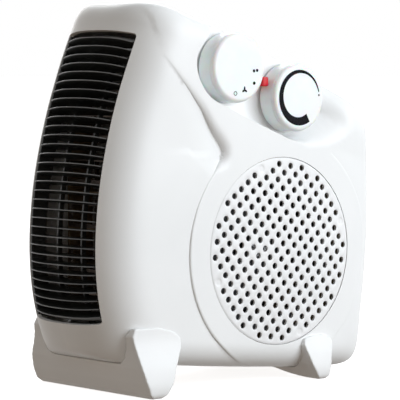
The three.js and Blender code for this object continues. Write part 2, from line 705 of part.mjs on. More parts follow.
// The scroll that gathers the air round the impeller and leads it to the heating element.
function airDuct() {
  const { y, z } = FAN;
  const turns = 16;
  const from = THREE.MathUtils.degToRad(128);
  const to = THREE.MathUtils.degToRad(-112);
  const inside = [];
  for (let i = 0; i <= turns; i += 1) {
    const angle = from + ((to - from) * i) / turns;
    const radius = 61 + (13 * i) / turns;
    inside.push(point(y + radius * Math.cos(angle), z + radius * Math.sin(angle)));
  }
  const floorLine = point(-57, 30);
  const roofLine = point(-52, 208);
  const path = [roofLine, point(-24, 168), ...inside, floorLine];
  const outer = path.map((p, i) => {
    const before = path[Math.max(i - 1, 0)];
    const after = path[Math.min(i + 1, path.length - 1)];
    const along = after.clone().sub(before).normalize();
    return point(p.x - along.y * 1.8, p.y + along.x * 1.8);
  });
  const between = path.map((p, i) => p.clone().lerp(outer[i], 0.5));
  const wall = sidePlate(closedShape([...path, ...outer.reverse()]), -3, 46);
  const floor = sidePlate(closedShape(between), -2.6, -1);
  const limit = casingBody(HALF_WIDTH, WALL + GAP).subtract(
    sidePlate(closedShape(nicheOutline(WALL + GAP)), NICHE.floor - WALL - GAP, 60),
  );
  const bossRoom = BOSSES.map(([by, bz]) => rodX(BOSS_RADIUS + GAP, -60, 60, by, bz, 10));
  return cut(wall.add(floor).intersect(limit), [rodX(14, -10, 10, y, z, 20), ...bossRoom]);
}

// ---------------------------------------------------------------- heating element

const ELEMENT = { y0: -82, y1: -62, z0: 58, z1: 204, half: 36, board: 1.4, shelves: 6 };

// Mica boards: two upright side boards joined by level ones.
function micaFrame() {
  const { y0, y1, z0, z1, half, board, shelves } = ELEMENT;
  const sides = [-half, half - board].map((x) => block(x, x + board, y0, y1, z0, z1));
  const levels = Array.from({ length: shelves + 1 }, (_, i) => {
    const z = z0 + ((z1 - z0 - board) * i) / shelves;
    return block(-half, half, y0, y1, z, z + board);
  });
  return joined([...sides, ...levels]);
}

// A resistance ribbon folded up and down in front of the boards or behind them.
function heatingRibbon(y) {
  const { z0, z1, half } = ELEMENT;
  const rows = 9;
  const width = half - 5;
  const line = [];
  for (let i = 0; i <= rows; i += 1) {
    const z = z0 + 6 + ((z1 - z0 - 12) * i) / rows;
    const ends = i % 2 === 0 ? [-width, width] : [width, -width];
    line.push(point(ends[0], z), point(ends[1], z));
  }
  const upper = line.map((p) => point(p.x, p.y + 1.2));
  const lower = line.map((p) => point(p.x, p.y - 1.2));
  const bars = [];
  for (let i = 0; i < line.length - 1; i += 1) {
    const [a, b] = [line[i], line[i + 1]];
    const [x0, x1] = [Math.min(a.x, b.x) - 1.2, Math.max(a.x, b.x) + 1.2];
    bars.push(block(x0, x1, y, y + 2, lower[i].y, upper[i + 1].y));
  }
  return joined(bars);
}

function thermalCutout() {
  const disc = turnedX([[0, 1], [6, 1], [6, 7], [4, 9], [0, 9]], -50, 182, 16);
  return disc;
}

const thermalFuse = () => rodZ(2, 100, 122, 10, -54, 10);

// A spring clip on the shaft in front of the impeller's hub.
function impellerClip() {
  const at = IMPELLER.back + 18 + GAP;
  const ring = [[MOTOR.shaft + 0.15, at], [6, at], [6, at + 1.5], [MOTOR.shaft + 0.15, at + 1.5]];
  return turnedX([...ring, ring[0]], FAN.y, FAN.z, 16);
}

// Where the supply lead meets the inner wiring.
function terminalBlock() {
  const wall = WALL - HALF_WIDTH + GAP;
  const body = block(wall, wall + 18, 70, 92, 46, 60);
  return cut(body, [-6, 0, 6].map((dy) => rodX(2, wall + 8, 0, 81 + dy, 53, 8)));
}

// ---------------------------------------------------------------- materials

function finish(color, roughness, metalness = 0) {
  return new THREE.MeshStandardMaterial({ color, roughness, metalness });
}

const MATERIALS = {
  casing: finish(0xe9ebec, 0.32),
  cover: finish(0xe6e8e9, 0.35),
  knob: finish(0xeceded, 0.3),
  grille: finish(0x16171a, 0.45),
  foot: finish(0xe6e7e6, 0.4),
  rubber: finish(0x232425, 0.85),
  lens: finish(0xc81c2a, 0.15),
  glass: finish(0xd9c7b4, 0.1),
  darkPlastic: finish(0x222326, 0.5),
  tanPlastic: finish(0xb9a27c, 0.6),
  mica: finish(0x8d6a45, 0.6),
  ribbon: finish(0x6d6660, 0.45, 0.9),
  lamination: finish(0x6a6c70, 0.5, 0.8),
  winding: finish(0x9a4a22, 0.5, 0.3),
  steel: finish(0xb4b7bb, 0.3, 0.9),
  bronze: finish(0x9a7440, 0.4, 0.8),
};

// ---------------------------------------------------------------- assembly

const heater = new THREE.Group();
heater.position.y = -DRAWN_MIDDLE;

function add(name, solid, material) {
  const mesh = new THREE.Mesh(geometryOf(solid), MATERIALS[material]);
  mesh.name = name;
  heater.add(mesh);
}

const whole = casing();
add('near_shell', nearShell(whole), 'casing');
add('far_shell', farShell(whole), 'casing');
add('intake_cover', intakeCover(), 'cover');
add('outlet_grille', outletGrille(), 'grille');
add('front_foot', foot(FRONT_FOOT), 'foot');
add('rear_foot', rearFoot(), 'foot');
add('function_knob', knob(FUNCTION_KNOB, SHAFT_RADIUS + 0.2), 'knob');
add('thermostat_knob', knob(THERMOSTAT_KNOB, SHAFT_RADIUS + 0.2), 'knob');
add('function_shaft', controlShaft(FUNCTION_KNOB, 20), 'darkPlastic');
add('thermostat_shaft', controlShaft(THERMOSTAT_KNOB, 23), 'darkPlastic');
add('rotary_switch', rotarySwitch(), 'darkPlastic');
add('thermostat', thermostat(), 'steel');
add('indicator_lens', indicatorLens(), 'lens');
add('neon_lamp', neonLamp(), 'glass');
add('fan_impeller', impeller(), 'darkPlastic');
add('motor_stator', motorStator(), 'lamination');
add('motor_coil', motorCoil(), 'winding');
add('motor_rotor', motorRotor(), 'lamination');
add('motor_shaft', rodX(MOTOR.shaft, -42, 40, FAN.y, FAN.z, 12), 'steel');
add('near_bearing_bracket', bearingBracket(1), 'steel');
add('far_bearing_bracket', bearingBracket(-1), 'steel');
add('near_bearing_bush', bearingBush(1), 'bronze');
add('far_bearing_bush', bearingBush(-1), 'bronze');
add('air_duct', airDuct(), 'tanPlastic');
add('mica_frame', micaFrame(), 'mica');
add('heating_ribbon_front', heatingRibbon(ELEMENT.y0 - 2 - GAP), 'ribbon');
add('heating_ribbon_rear', heatingRibbon(ELEMENT.y1 + GAP), 'ribbon');
add('thermal_cutout', thermalCutout(), 'steel');
add('thermal_fuse', thermalFuse(), 'steel');
add('cord_gland', cordGland(), 'darkPlastic');
REST_PADS.forEach(([y, z], i) => add(`rest_pad_${i + 1}`, restPad(y, z), 'rubber'));
BOSSES.forEach(([y, z], i) => {
  add(`casing_screw_${i + 1}`, screwX(SCREW.headAt, SCREW.length, y, z), 'steel');
});

MOTOR_POSTS.forEach(([y, z], i) => {
  add(`motor_screw_${i + 1}`, screwX(MOTOR.back + 5.7, -13, y, z, 3, 1.3), 'steel');
});
COVER_FIXINGS.forEach(([i, j], index) => {
  const [y, z] = gridPlace(i, j);
  add(`cover_screw_${index + 1}`, screwX(COVER_SCREW.headAt, 4.8, y, z, 4.4, 1.1), 'steel');
});
FOOT_SCREWS.forEach(([x, y, headAt], i) => {
  add(`foot_screw_${i + 1}`, screwZ(headAt, 16, x, y), 'steel');
});
add('impeller_clip', impellerClip(), 'steel');
add('terminal_block', terminalBlock(), 'darkPlastic');

export default heater;
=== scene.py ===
# Looks of the upright fan convector heater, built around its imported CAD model.
# Shapes are worked out in millimetres in the side view's own (y, z) frame and placed in the
# part's frame, in metres, by place().

import json
import math

import bmesh
import bpy
import numpy as np
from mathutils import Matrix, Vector
from mathutils.geometry import delaunay_2d_cdt


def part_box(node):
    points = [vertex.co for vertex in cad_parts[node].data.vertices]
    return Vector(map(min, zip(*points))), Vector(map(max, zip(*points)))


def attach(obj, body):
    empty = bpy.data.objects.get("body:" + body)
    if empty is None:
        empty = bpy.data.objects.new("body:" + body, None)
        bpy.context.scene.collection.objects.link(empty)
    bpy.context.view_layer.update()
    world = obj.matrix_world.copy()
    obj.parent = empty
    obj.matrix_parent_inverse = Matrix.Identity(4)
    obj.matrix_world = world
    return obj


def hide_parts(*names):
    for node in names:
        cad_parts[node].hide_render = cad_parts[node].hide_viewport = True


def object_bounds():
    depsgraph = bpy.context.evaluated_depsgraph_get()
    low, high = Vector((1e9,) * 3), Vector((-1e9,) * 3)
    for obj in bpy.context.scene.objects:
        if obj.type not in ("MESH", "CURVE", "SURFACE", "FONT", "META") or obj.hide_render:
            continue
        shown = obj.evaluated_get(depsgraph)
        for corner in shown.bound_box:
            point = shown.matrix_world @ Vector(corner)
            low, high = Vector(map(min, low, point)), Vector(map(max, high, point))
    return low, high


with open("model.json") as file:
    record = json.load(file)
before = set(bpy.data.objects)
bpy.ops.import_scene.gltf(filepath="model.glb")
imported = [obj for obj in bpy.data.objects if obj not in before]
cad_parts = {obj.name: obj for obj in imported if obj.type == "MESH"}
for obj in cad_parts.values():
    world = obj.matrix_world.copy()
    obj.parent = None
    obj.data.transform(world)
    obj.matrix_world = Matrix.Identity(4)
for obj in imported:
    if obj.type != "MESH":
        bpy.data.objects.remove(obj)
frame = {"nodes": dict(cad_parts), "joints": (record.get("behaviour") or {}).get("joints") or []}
CAD_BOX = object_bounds()

MM = 0.001
TINY, FAR = 1e-9, 1e9
FAN = np.array([30.75, 90.0])    # fan and intake axis in the side view


def joint_place(name):
    """A joint's (y, z) in the part's frame, in millimetres."""
    joint = next(j for j in frame["joints"] if j["name"] == name)
    return joint["pos_m"][1] / MM, joint["pos_m"][2] / MM


SHIFT_Y = joint_place("fan_spin")[0] - FAN[0]


def joint_centre(name):
    """A joint's (y, z) in the side view's frame."""
    y, z = joint_place(name)
    return y - SHIFT_Y, z


def box_centre(node):
    """The middle of a CAD node's box, as (y, z) in the side view's frame."""
    low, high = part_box(node)
    middle = (low + high) / 2 / MM
    return middle.y - SHIFT_Y, middle.z


def linked(name, data):
    """A new object with this data, in the scene."""
    made = bpy.data.objects.new(name, data)
    bpy.context.scene.collection.objects.link(made)
    return made


# ------------ camera

CAMERA_AT = (1.1689, -1.0154, 0.2120)
CAMERA_AZIMUTH = 48.943
CAMERA_ELEVATION = 3.273
CAMERA_LENS = 202.65

camera_data = bpy.data.cameras.new("camera")
camera_data.lens = CAMERA_LENS
camera_data.sensor_width = 36
camera_data.clip_start = 0.05
camera = linked("camera", camera_data)
camera.location = CAMERA_AT
camera.rotation_euler = (
    math.radians(90 - CAMERA_ELEVATION), 0, math.radians(CAMERA_AZIMUTH))
bpy.context.scene.camera = camera

# ------------ casing dimensions (mm)

HALF_WIDTH = 52.0            # middle plane to the plain part of a broad face
PANEL_RISE = 2.0             # the keyhole panel stands this much proud of it
FACE = HALF_WIDTH + PANEL_RISE
FRONT_DEPTH = 40.0           # the front rounds over this depth into the broad faces
EDGE_ROUND = 18.0            # rounding of the top, rear and bottom edges
SQUARE, FRONT_SQUARE = 2.2, 0.3    # power of the rounding, and what it gains on the front
WALL = 2.5
GAP = 0.3                    # clearance between separate pieces
NICHE_FLOOR = 37.5
GRILLE_START, GRILLE_END = 0.085, 0.97    # the grille's window along the front curve
GRILLE_HALF = 35.3                        # half of its width

# The side view's outline, and the edge of the flat broad face inside it, as Bezier curves.
FRONT = [(-110, 30), (-136.5, 94), (-114.5, 180), (-84, 245)]
OUTLINE = [
    [(-84, 245), (-79, 258.5), (-69, 260.5), (-50, 252.3)],
    [(-50, 252.3), (25, 230), (105.5, 193)],
    [(105.5, 193), (123.5, 184.5), (123.4, 166)],
    [(123.4, 166), (129.5, 105), (119.2, 42)],
    [(119.2, 42), (116, 12), (119, 3.8), (92, 4.9)],
    [(92, 4.9), (10, 9.4), (-90, 21.5)],
    [(-90, 21.5), (-106.5, 23), (-110, 30)],
]
FACE_EDGE = [
    [(-47.6, 228.4), (-45, 231.5), (-39, 231), (-33, 229)],
    [(-33, 229), (18, 211.3), (93, 174.5)],
    [(93, 174.5), (104.2, 168.7), (104.4, 158)],
    [(104.4, 158), (104.5, 102), (97.5, 46)],
    [(97.5, 46), (96.6, 30), (94, 22.5), (84, 23)],
    [(84, 23), (10, 27), (-64, 36.5)],
    [(-64, 36.5), (-70.5, 38.5), (-73.2, 45.6)],
]
STRETCH_STEPS = [26, 80, 26, 56, 40, 84, 22]    # columns along each stretch of the outline
FRONT_STEPS = 200                               # and along the front
SAMPLES = 72                                    # rows down each column
ROUND_STEPS, PLAIN_STEPS = 90, 19               # of a section's rounding and straight part
NICHE_WALL = [
    (-24, 262), (-29, 241), (-39, 229.5), (-44.5, 219.5), (-41.5, 206), (-31.5, 194.3),
    (-15, 187), (3, 179.5), (24, 171.5), (46, 163.8), (69, 161), (87, 163.5),
    (98.5, 171), (103, 187), (104, 230),
]
NECK_LEFT = [
    (-70, 222), (-60.9, 210.9), (-50.5, 199.7), (-44.7, 193.1), (-38.7, 186.4), (-34.2, 179.8),
    (-29.5, 173), (-25.6, 168.5), (-21.8, 164), (-19, 159.6), (-18.8, 156),
]
NECK_RIGHT = [(80, 158), (96, 166), (125, 174)]
PANEL_RADIUS = 81.0
DISC_START, DISC_END = (-20.6, 153), (78, 157)    # the disc's edge runs between their bearings
ABOVE_CASING = [(135, 200), (135, 270), (-75, 270)]
NICHE_EDGE, NICHE_RAMP = 3.2, 32.0    # width of the niche's wall, and what its rear ramp adds
RAMP_FROM, RAMP_SPAN = 0.56, 0.22     # where along the wall it widens into the ramp

INTAKE_RADIUS = 64.0
INTAKE_PITCH = 7.5
INTAKE_HOLE = 2.1
INTAKE_TWIST = math.radians(-8.94)
INTAKE_REACH = 125           # the largest i * i + j * j of a hole in the grid
COVER_FIXINGS = [(-5, 10), (10, 5), (5, -10), (-10, -5)]
SCREW_BORE = 3.9
BOSSES = [(-60, 226), (60, 176), (105, 150), (92, 24), (2, 24), (-72, 44)]
COOLING_SLOTS = [(FAN[0] + 6 * (i - 4.5), FAN[1]) for i in range(10)]


# ------------ curves

def bezier(points, t):
    """Points of a Bezier curve of any degree at the shares t."""
    layer = [np.outer(np.ones_like(t), p) for p in np.array(points, float)]
    while len(layer) > 1:
        layer = [a + (b - a) * t[:, None] for a, b in zip(layer, layer[1:])]
    return layer[0]


def spline(points, steps):
    """Catmull-Rom curve through open points, with steps spans."""
    p = np.array(points, float)
    out = []
    for k in range(steps + 1):
        u = (len(p) - 1) * k / steps
        i = min(int(u), len(p) - 2)
        w = u - i
        p0 = p[max(i - 1, 0)]
        p1, p2 = p[i], p[i + 1]
        p3 = p[min(i + 2, len(p) - 1)]
        v0, v1 = (p2 - p0) / 2, (p3 - p1) / 2
        out.append((2 * p1 - 2 * p2 + v0 + v1) * w ** 3
                   + (-3 * p1 + 3 * p2 - 2 * v0 - v1) * w ** 2 + v0 * w + p1)
    return np.array(out)


def run_along(line):
    """How far along an open line each of its points is."""
    return np.r_[0, np.cumsum(np.linalg.norm(np.diff(line, axis=0), axis=1))]


def resampled(line, spacing):
    """The same open line with points about every spacing mm."""
    run = run_along(line)
    at = np.linspace(0, run[-1], int(round(run[-1] / spacing)) + 1)
    return np.column_stack([np.interp(at, run, values) for values in line.T])


def ease(t):
    """From 0 to 1 and level at both ends."""
    t = np.clip(t, 0, 1)
    return t * t * (3 - 2 * t)


def circle(centre, radius, sides, start=0.0, end=2 * math.pi):
    angles = start + (end - start) * np.arange(sides) / sides
    return np.column_stack([centre[0] + radius * np.cos(angles),
                            centre[1] + radius * np.sin(angles)])


def inside(points, polygon):
    """Which points lie in the closed polygon."""
    x, y = points[:, 0], points[:, 1]
    hit = np.zeros(len(points), bool)
    for a, b in zip(polygon, np.roll(polygon, -1, axis=0)):
        crosses = (a[1] > y) != (b[1] > y)
        if not crosses.any():
            continue
        with np.errstate(divide="ignore", invalid="ignore"):
            at = a[0] + (b[0] - a[0]) * (y - a[1]) / (b[1] - a[1])
        hit ^= crosses & (x < at)
    return hit


def line_distance(points, line):
    """Distance of each point to an open line, signed (left of it is positive), and how far
    along the line, from 0 to 1, the nearest place is."""
    best = np.full(len(points), FAR)
    sign = np.ones(len(points))
    along = np.zeros(len(points))
    run = run_along(line)
    for k, (a, b) in enumerate(zip(line, line[1:])):
        ab = b - a
        size = np.dot(ab, ab)
        if size < TINY:
            continue
        t = np.clip(((points - a) @ ab) / size, 0, 1)
        off = points - a - t[:, None] * ab
        d = np.hypot(off[:, 0], off[:, 1])
        closer = d < best
        best[closer] = d[closer]
        side = ab[0] * (points[:, 1] - a[1]) - ab[1] * (points[:, 0] - a[0])
        sign[closer] = np.where(side[closer] >= 0, 1, -1)
        along[closer] = (run[k] + t[closer] * math.sqrt(size)) / run[-1]
    return best * sign, along


# ------------ casing surface

def front_frame(t):
    """Points of the front curve, and its unit directions along and out of it."""
    step = 1e-4
    along = bezier(FRONT, np.clip(t + step, 0, 1)) - bezier(FRONT, np.clip(t - step, 0, 1))
    along /= np.linalg.norm(along, axis=1)[:, None]
    return bezier(FRONT, t), along, np.column_stack([-along[:, 1], along[:, 0]])


def front_point(t, inset):
    p, _, normal = front_frame(t)
    return p - inset * normal


def casing_columns():
    """Once round the outline: points on it, their partners on the face edge, and 1 where
    the section rounds right across, 0 where only the edge is rounded."""
    t = np.arange(FRONT_STEPS) / FRONT_STEPS
    rims, faces = [front_point(t, 0)], [front_point(t, FRONT_DEPTH)]
    fronts = [np.ones(FRONT_STEPS)]
    last = len(OUTLINE) - 1
    for k, (outer, inner) in enumerate(zip(OUTLINE, FACE_EDGE)):
        t = np.arange(STRETCH_STEPS[k]) / STRETCH_STEPS[k]
        rims.append(bezier(outer, t))
        faces.append(bezier(inner, t))
        fronts.append({0: 1 - ease(t), last: ease(t)}.get(k, np.zeros_like(t)))
    return np.vstack(rims), np.vstack(faces), np.concatenate(fronts)


RIM, FACE_LINE, FRONTNESS = casing_columns()
COLUMNS = len(RIM)
INWARD = FACE_LINE - RIM
DEPTH = np.linalg.norm(INWARD, axis=1)
OUT = -INWARD / DEPTH[:, None]


def between(values, a, b, w):
    """The share w of the way from values[a] to values[b]."""
    return values[a] * (1 - w) + values[b] * w


def section_tables():
    """Along each column, from the face edge to the middle plane: x, distance out from the
    face edge, how far round (1 on the face, 0 at the rim), and the whole length."""
    tables = np.zeros((COLUMNS, SAMPLES, 3))
    lengths = np.zeros(COLUMNS)
    angle = np.linspace(math.pi / 2, 0, ROUND_STEPS)
    for i in range(COLUMNS):
        power = 2 / (SQUARE + FRONT_SQUARE * FRONTNESS[i])
        edge = EDGE_ROUND + (HALF_WIDTH - EDGE_ROUND) * FRONTNESS[i]
        turn = np.sin(angle) ** power
        across = np.r_[0, np.cos(angle[1:])] ** power
        plain = np.linspace(HALF_WIDTH - edge, 0, PLAIN_STEPS + 1)[1:]
        x = np.r_[HALF_WIDTH - edge + edge * turn, plain]
        out = np.r_[DEPTH[i] * across, np.full(PLAIN_STEPS, DEPTH[i])]
        turn = np.r_[turn, np.zeros(PLAIN_STEPS)]
        run = np.r_[0, np.cumsum(np.hypot(np.diff(x), np.diff(out)))]
        at = np.linspace(0, run[-1], SAMPLES)
        for k, values in enumerate((x, out, turn)):
            tables[i, :, k] = np.interp(at, run, values)
        lengths[i] = run[-1]
    return tables, lengths


TABLE, LENGTH = section_tables()


def wedges(points):
    """Which two columns each point lies between, and how far from the first to the second;
    also its distance out from the face edge.  Column -1 is inside the face edge."""
    first = np.full(len(points), -1)
    share = np.zeros(len(points))
    beyond = np.zeros(len(points))
    outside = np.flatnonzero(~inside(points, FACE_LINE))
    batch, on_ray, slack = 3000, 1e-7, 1.5
    for start in range(0, len(outside), batch):
        chosen = outside[start:start + batch]
        offset = points[chosen][:, None, :] - FACE_LINE[None]
        cross = OUT[None, :, 0] * offset[:, :, 1] - OUT[None, :, 1] * offset[:, :, 0]
        dot = (offset * OUT[None]).sum(2)
        following = np.roll(cross, -1, axis=1)
        fits = (cross <= on_ray) & (following > -on_ray) & (dot > -slack)
        score = np.where(fits, np.abs(cross) + np.abs(following), FAR)
        i = score.argmin(1)
        rows = np.arange(len(chosen))
        a, b = cross[rows, i], following[rows, i]
        w = np.clip(-a / np.maximum(b - a, TINY), 0, 1)
        nxt = (i + 1) % COLUMNS
        first[chosen] = i
        share[chosen] = w
        beyond[chosen] = np.maximum((1 - w) * dot[rows, i] + w * dot[rows, nxt], 0)
    return first, share, beyond


def surface_at(flat):
    """Points of the laid-out casing surface, as x, y, z and turn."""
    i, w, run = wedges(flat)
    result = np.column_stack([np.full(len(flat), HALF_WIDTH), flat, np.ones(len(flat))])
    rows = np.flatnonzero(i >= 0)
    i, w, run = i[rows], w[rows], run[rows]
    parts = []
    for column in (i, (i + 1) % COLUMNS):
        whole = between(LENGTH, i, (i + 1) % COLUMNS, w)
        place_in = np.clip(run / whole, 0, 1) * (SAMPLES - 1)
        k = np.minimum(place_in.astype(int), SAMPLES - 2)
        f = (place_in - k)[:, None]
        row = TABLE[column, k] * (1 - f) + TABLE[column, k + 1] * f
        yz = FACE_LINE[column] + OUT[column] * row[:, 1:2]
        parts.append(np.column_stack([row[:, 0], yz, row[:, 2]]))
    result[rows] = parts[0] * (1 - w)[:, None] + parts[1] * w[:, None]
    return result


def laid_out(points):
    """Where side-view points come to lie in the laid-out plane."""
    i, w, beyond = wedges(points)
    flat = points.copy()
    for n in np.flatnonzero(i >= 0):
        a, b = i[n], (i[n] + 1) % COLUMNS
        out = between(TABLE[:, :, 1], a, b, w[n])
        run = np.linspace(0, between(LENGTH, a, b, w[n]), SAMPLES)
        aim = between(OUT, a, b, w[n])
        aim = aim / np.linalg.norm(aim) * np.interp(beyond[n], out, run)
        flat[n] = between(FACE_LINE, a, b, w[n]) + aim
    return flat


# ------------ niche and keyhole panel

NICHE_LINE = spline(NICHE_WALL, 140)
NECK_LEFT_LINE = spline(NECK_LEFT, 80)
NECK_RIGHT_LINE = spline(NECK_RIGHT, 30)
DISC_FROM = math.atan2(DISC_START[1] - FAN[1], DISC_START[0] - FAN[0])
DISC_TO = math.atan2(DISC_END[1] - FAN[1], DISC_END[0] - FAN[0]) + 2 * math.pi
DISC_LINE = circle(FAN, PANEL_RADIUS, 200, DISC_FROM, DISC_TO)
PANEL_EDGE = np.vstack([NECK_LEFT_LINE, DISC_LINE, NECK_RIGHT_LINE])
PANEL_AREA = np.vstack([PANEL_EDGE, ABOVE_CASING])

NECK_SHARE = run_along(NECK_LEFT_LINE)[-1] / run_along(PANEL_EDGE)[-1]
CUSP_SPAN = 0.03             # the neck turns into the disc over this share of the edge
DISC_SLOPE = 1.2             # width of the panel's edge round the disc
NECK_SLOPE = (1.8, 4.2)      # what the neck's top adds to it, and what its length adds
NECK_DIP, DIP_POWER = 3.0, 1.5
DIP_REACH, SWELL_REACH = 9.0, 26.0
# Share along the panel's edge, and how much of a step the edge has there.
PANEL_STEPS = [
    (0, 0.05), (0.85 * NECK_SHARE, 1), (NECK_SHARE + 0.01, 1), (NECK_SHARE + 0.035, 0.22),
    (0.28, 0.6), (0.42, 0.7), (0.50, 0.08), (1, 0.08),
]


def niche_width(along):
    """The wall runs down over this width; at the rear end it is a long ramp."""
    return NICHE_EDGE + NICHE_RAMP * ease((along - RAMP_FROM) / RAMP_SPAN)


def on_neck(along):
    """1 along the neck and 0 along the disc."""
    return 1 - ease((along - NECK_SHARE) / CUSP_SPAN)


def panel_width(along):
    """The panel's edge rises over this width: wider down the neck, narrow round the disc."""
    down = np.clip(along / NECK_SHARE, 0, 1)
    return DISC_SLOPE + (NECK_SLOPE[0] + NECK_SLOPE[1] * down) * on_neck(along)


def neck_dip(along):
    """How far the side is dished in front of the neck, deepest where the neck ends."""
    return NECK_DIP * ease(along / NECK_SHARE) ** DIP_POWER * on_neck(along)


def shaped(base):
    """Adds the raised panel and the niche to surface points of the near side.  Where the
    panel's edge has no full step, the side swells up to it softly."""
    yz = base[:, 1:3]
    distance, along = line_distance(yz, PANEL_EDGE)
    within = inside(yz, PANEL_AREA)
    f = np.clip(np.where(within, np.abs(distance), 0) / panel_width(along), 0, 1)
    rounded = np.sqrt(1 - (1 - f) ** 2)
    step = np.interp(along, *zip(*PANEL_STEPS))
    swell = (1 - step) * np.exp(-(distance / SWELL_REACH) ** 2)
    rise = np.where(within, 1 - step + step * rounded, swell)
    beside = np.exp(-(distance / DIP_REACH) ** 2)
    dip = neck_dip(along) * np.where(within, 1 - rounded, beside)
    x = base[:, 0] + base[:, 3] * (PANEL_RISE * rise - dip)
    distance, along = line_distance(yz, NICHE_LINE)
    depth = ease(distance / niche_width(along))
    x = x - np.maximum(x - NICHE_FLOOR, 0) * np.where(distance > 0, depth, 0)
    return np.column_stack([x, base[:, 1], base[:, 2]])


# ------------ meshes

def place(points):
    """Millimetres in the side view's frame to metres in the part's frame."""
    p = np.asarray(points, float).reshape(-1, 3) * MM
    p[:, 1] += SHIFT_Y * MM
    return p


def add_piece(name, points, faces, smooth_angle=35):
    """A piece from points in millimetres, kept inside the CAD model's box; edges sharper
    than smooth_angle degrees stay sharp."""
    mesh = bpy.data.meshes.new(name)
    placed = np.clip(place(points), CAD_BOX[0], CAD_BOX[1])
    mesh.from_pydata(placed.tolist(), [], [list(map(int, f)) for f in faces])
    mesh.validate()
    mesh.update()
    mesh.shade_smooth()
    mesh.set_sharp_from_angle(angle=math.radians(smooth_angle))
    return linked(name, mesh)


def triangulated(points, constraints, keep):
    """Delaunay triangles over points; keep says which triangle middles stay."""
    same_point, flat_area = 1e-5, 1e-7
    verts = [Vector((float(a), float(b))) for a, b in points]
    out = delaunay_2d_cdt(verts, constraints, [], 0, same_point, False)
    flat = np.array([(v.x, v.y) for v in out[0]])
    faces = np.array([f for f in out[2] if len(f) == 3])
    middles = flat[faces].mean(1)
    faces = faces[keep(middles)]
    a, b, c = (flat[faces[:, k]] for k in range(3))
    ab, ac = b - a, c - a
    area = ab[:, 0] * ac[:, 1] - ab[:, 1] * ac[:, 0]
    faces = np.where(area[:, None] > 0, faces, faces[:, ::-1])
    faces = faces[np.abs(area) > flat_area]
    used, faces = np.unique(faces, return_inverse=True)
    return flat[used], faces.reshape(-1, 3)


def normals_of(points, faces):
    a, b, c = (points[faces[:, k]] for k in range(3))
    face_normals = np.cross(b - a, c - a)
    sums = np.zeros_like(points)
    for k in range(3):
        np.add.at(sums, faces[:, k], face_normals)
    return sums / np.maximum(np.linalg.norm(sums, axis=1), 1e-12)[:, None]


def boundary_edges(faces):
    """Edges that only one triangle has; a dict keeps them in the order of the faces."""
    seen = {}
    for tri in faces:
        for a, b in zip(tri, np.roll(tri, -1)):
            seen[(int(a), int(b))] = True
    return [(a, b) for a, b in seen if (b, a) not in seen]


def thickened(points, faces, thickness):
    """Closes a sheet into a wall of that thickness, on the side away from its normals."""
    inner = points - normals_of(points, faces) * thickness
    count = len(points)
    quads = [(b, a, a + count, b + count) for a, b in boundary_edges(faces)]
    every = [tuple(f) for f in faces] + [tuple(f[::-1] + count) for f in faces] + quads
    return np.vstack([points, inner]), every


def thin_out(lattice, features, gap):
    """Lattice points that are at least gap away from every feature point."""
    kept = []
    batch = 2000
    for start in range(0, len(lattice), batch):
        part = lattice[start:start + batch]
        d = ((part[:, None] - features[None]) ** 2).sum(2).min(1)
        kept.append(part[d > gap * gap])
    return np.vstack(kept)


def lattice_points(spacing):
    """Rows of points all over the laid-out surface, and a grid on the flat face."""
    face_y, face_z, fewest_rows = (-80, 110), (20, 235), 4
    run = run_along(RIM)
    count = int(run[-1] / spacing)
    columns = np.interp(np.arange(count) * spacing, run, np.arange(COLUMNS))
    points = []
    for position in columns:
        i = min(int(position), COLUMNS - 2)
        w = position - i
        start, aim, whole = (between(v, i, i + 1, w) for v in (FACE_LINE, OUT, LENGTH))
        rows = max(fewest_rows, int(whole / spacing))
        for k in range(rows):
            points.append(start + aim * whole * (k + 0.5) / rows)
    y, z = np.meshgrid(np.arange(*face_y, spacing), np.arange(*face_z, spacing))
    grid = np.column_stack([y.ravel(), z.ravel()])
    return np.vstack([points, grid[inside(grid, FACE_LINE)]])


def rim_and_window():
    """The casing half's boundary in the laid-out plane: round the middle plane, and in and
    out again round the grille window."""
    def at(column, run):
        return FACE_LINE[column] + OUT[column] * run
    first = round(GRILLE_START * FRONT_STEPS)
    last = round(GRILLE_END * FRONT_STEPS)
    reach = np.interp(-GRILLE_HALF, -TABLE[first, :, 0], np.linspace(0, LENGTH[first], SAMPLES))
    corner, rounding, step = 1.6, 0.4, 1.4
    line = [at(c, LENGTH[c]) for c in range(0, first)]
    line += [at(first, run) for run in np.arange(LENGTH[first], reach + corner, -step)]
    line += [at(first + 1, reach + rounding)]
    line += [at(c, reach) for c in range(first + 2, last - 1)]
    line += [at(last - 1, reach + rounding)]
    line += [at(last, run) for run in np.arange(reach + corner, LENGTH[last], step)]
    line += [at(c, LENGTH[c]) for c in range(last, COLUMNS)]
    return np.array(line)


def edges_of(rings):
    """Edges round each of the rings, whose points follow each other from 0."""
    edges, start = [], 0
    for ring in rings:
        count = len(ring)
        edges += [(start + k, start + (k + 1) % count) for k in range(count)]
        start += count
    return edges


def offset_rows(line, distances, spacing):
    """Rows of points beside a line, each at one of the distances to its left."""
    line = resampled(line, spacing)
    along = np.gradient(line, axis=0)
    along /= np.linalg.norm(along, axis=1)[:, None]
    left = np.column_stack([-along[:, 1], along[:, 0]])
    return [line + left * d for d in distances]


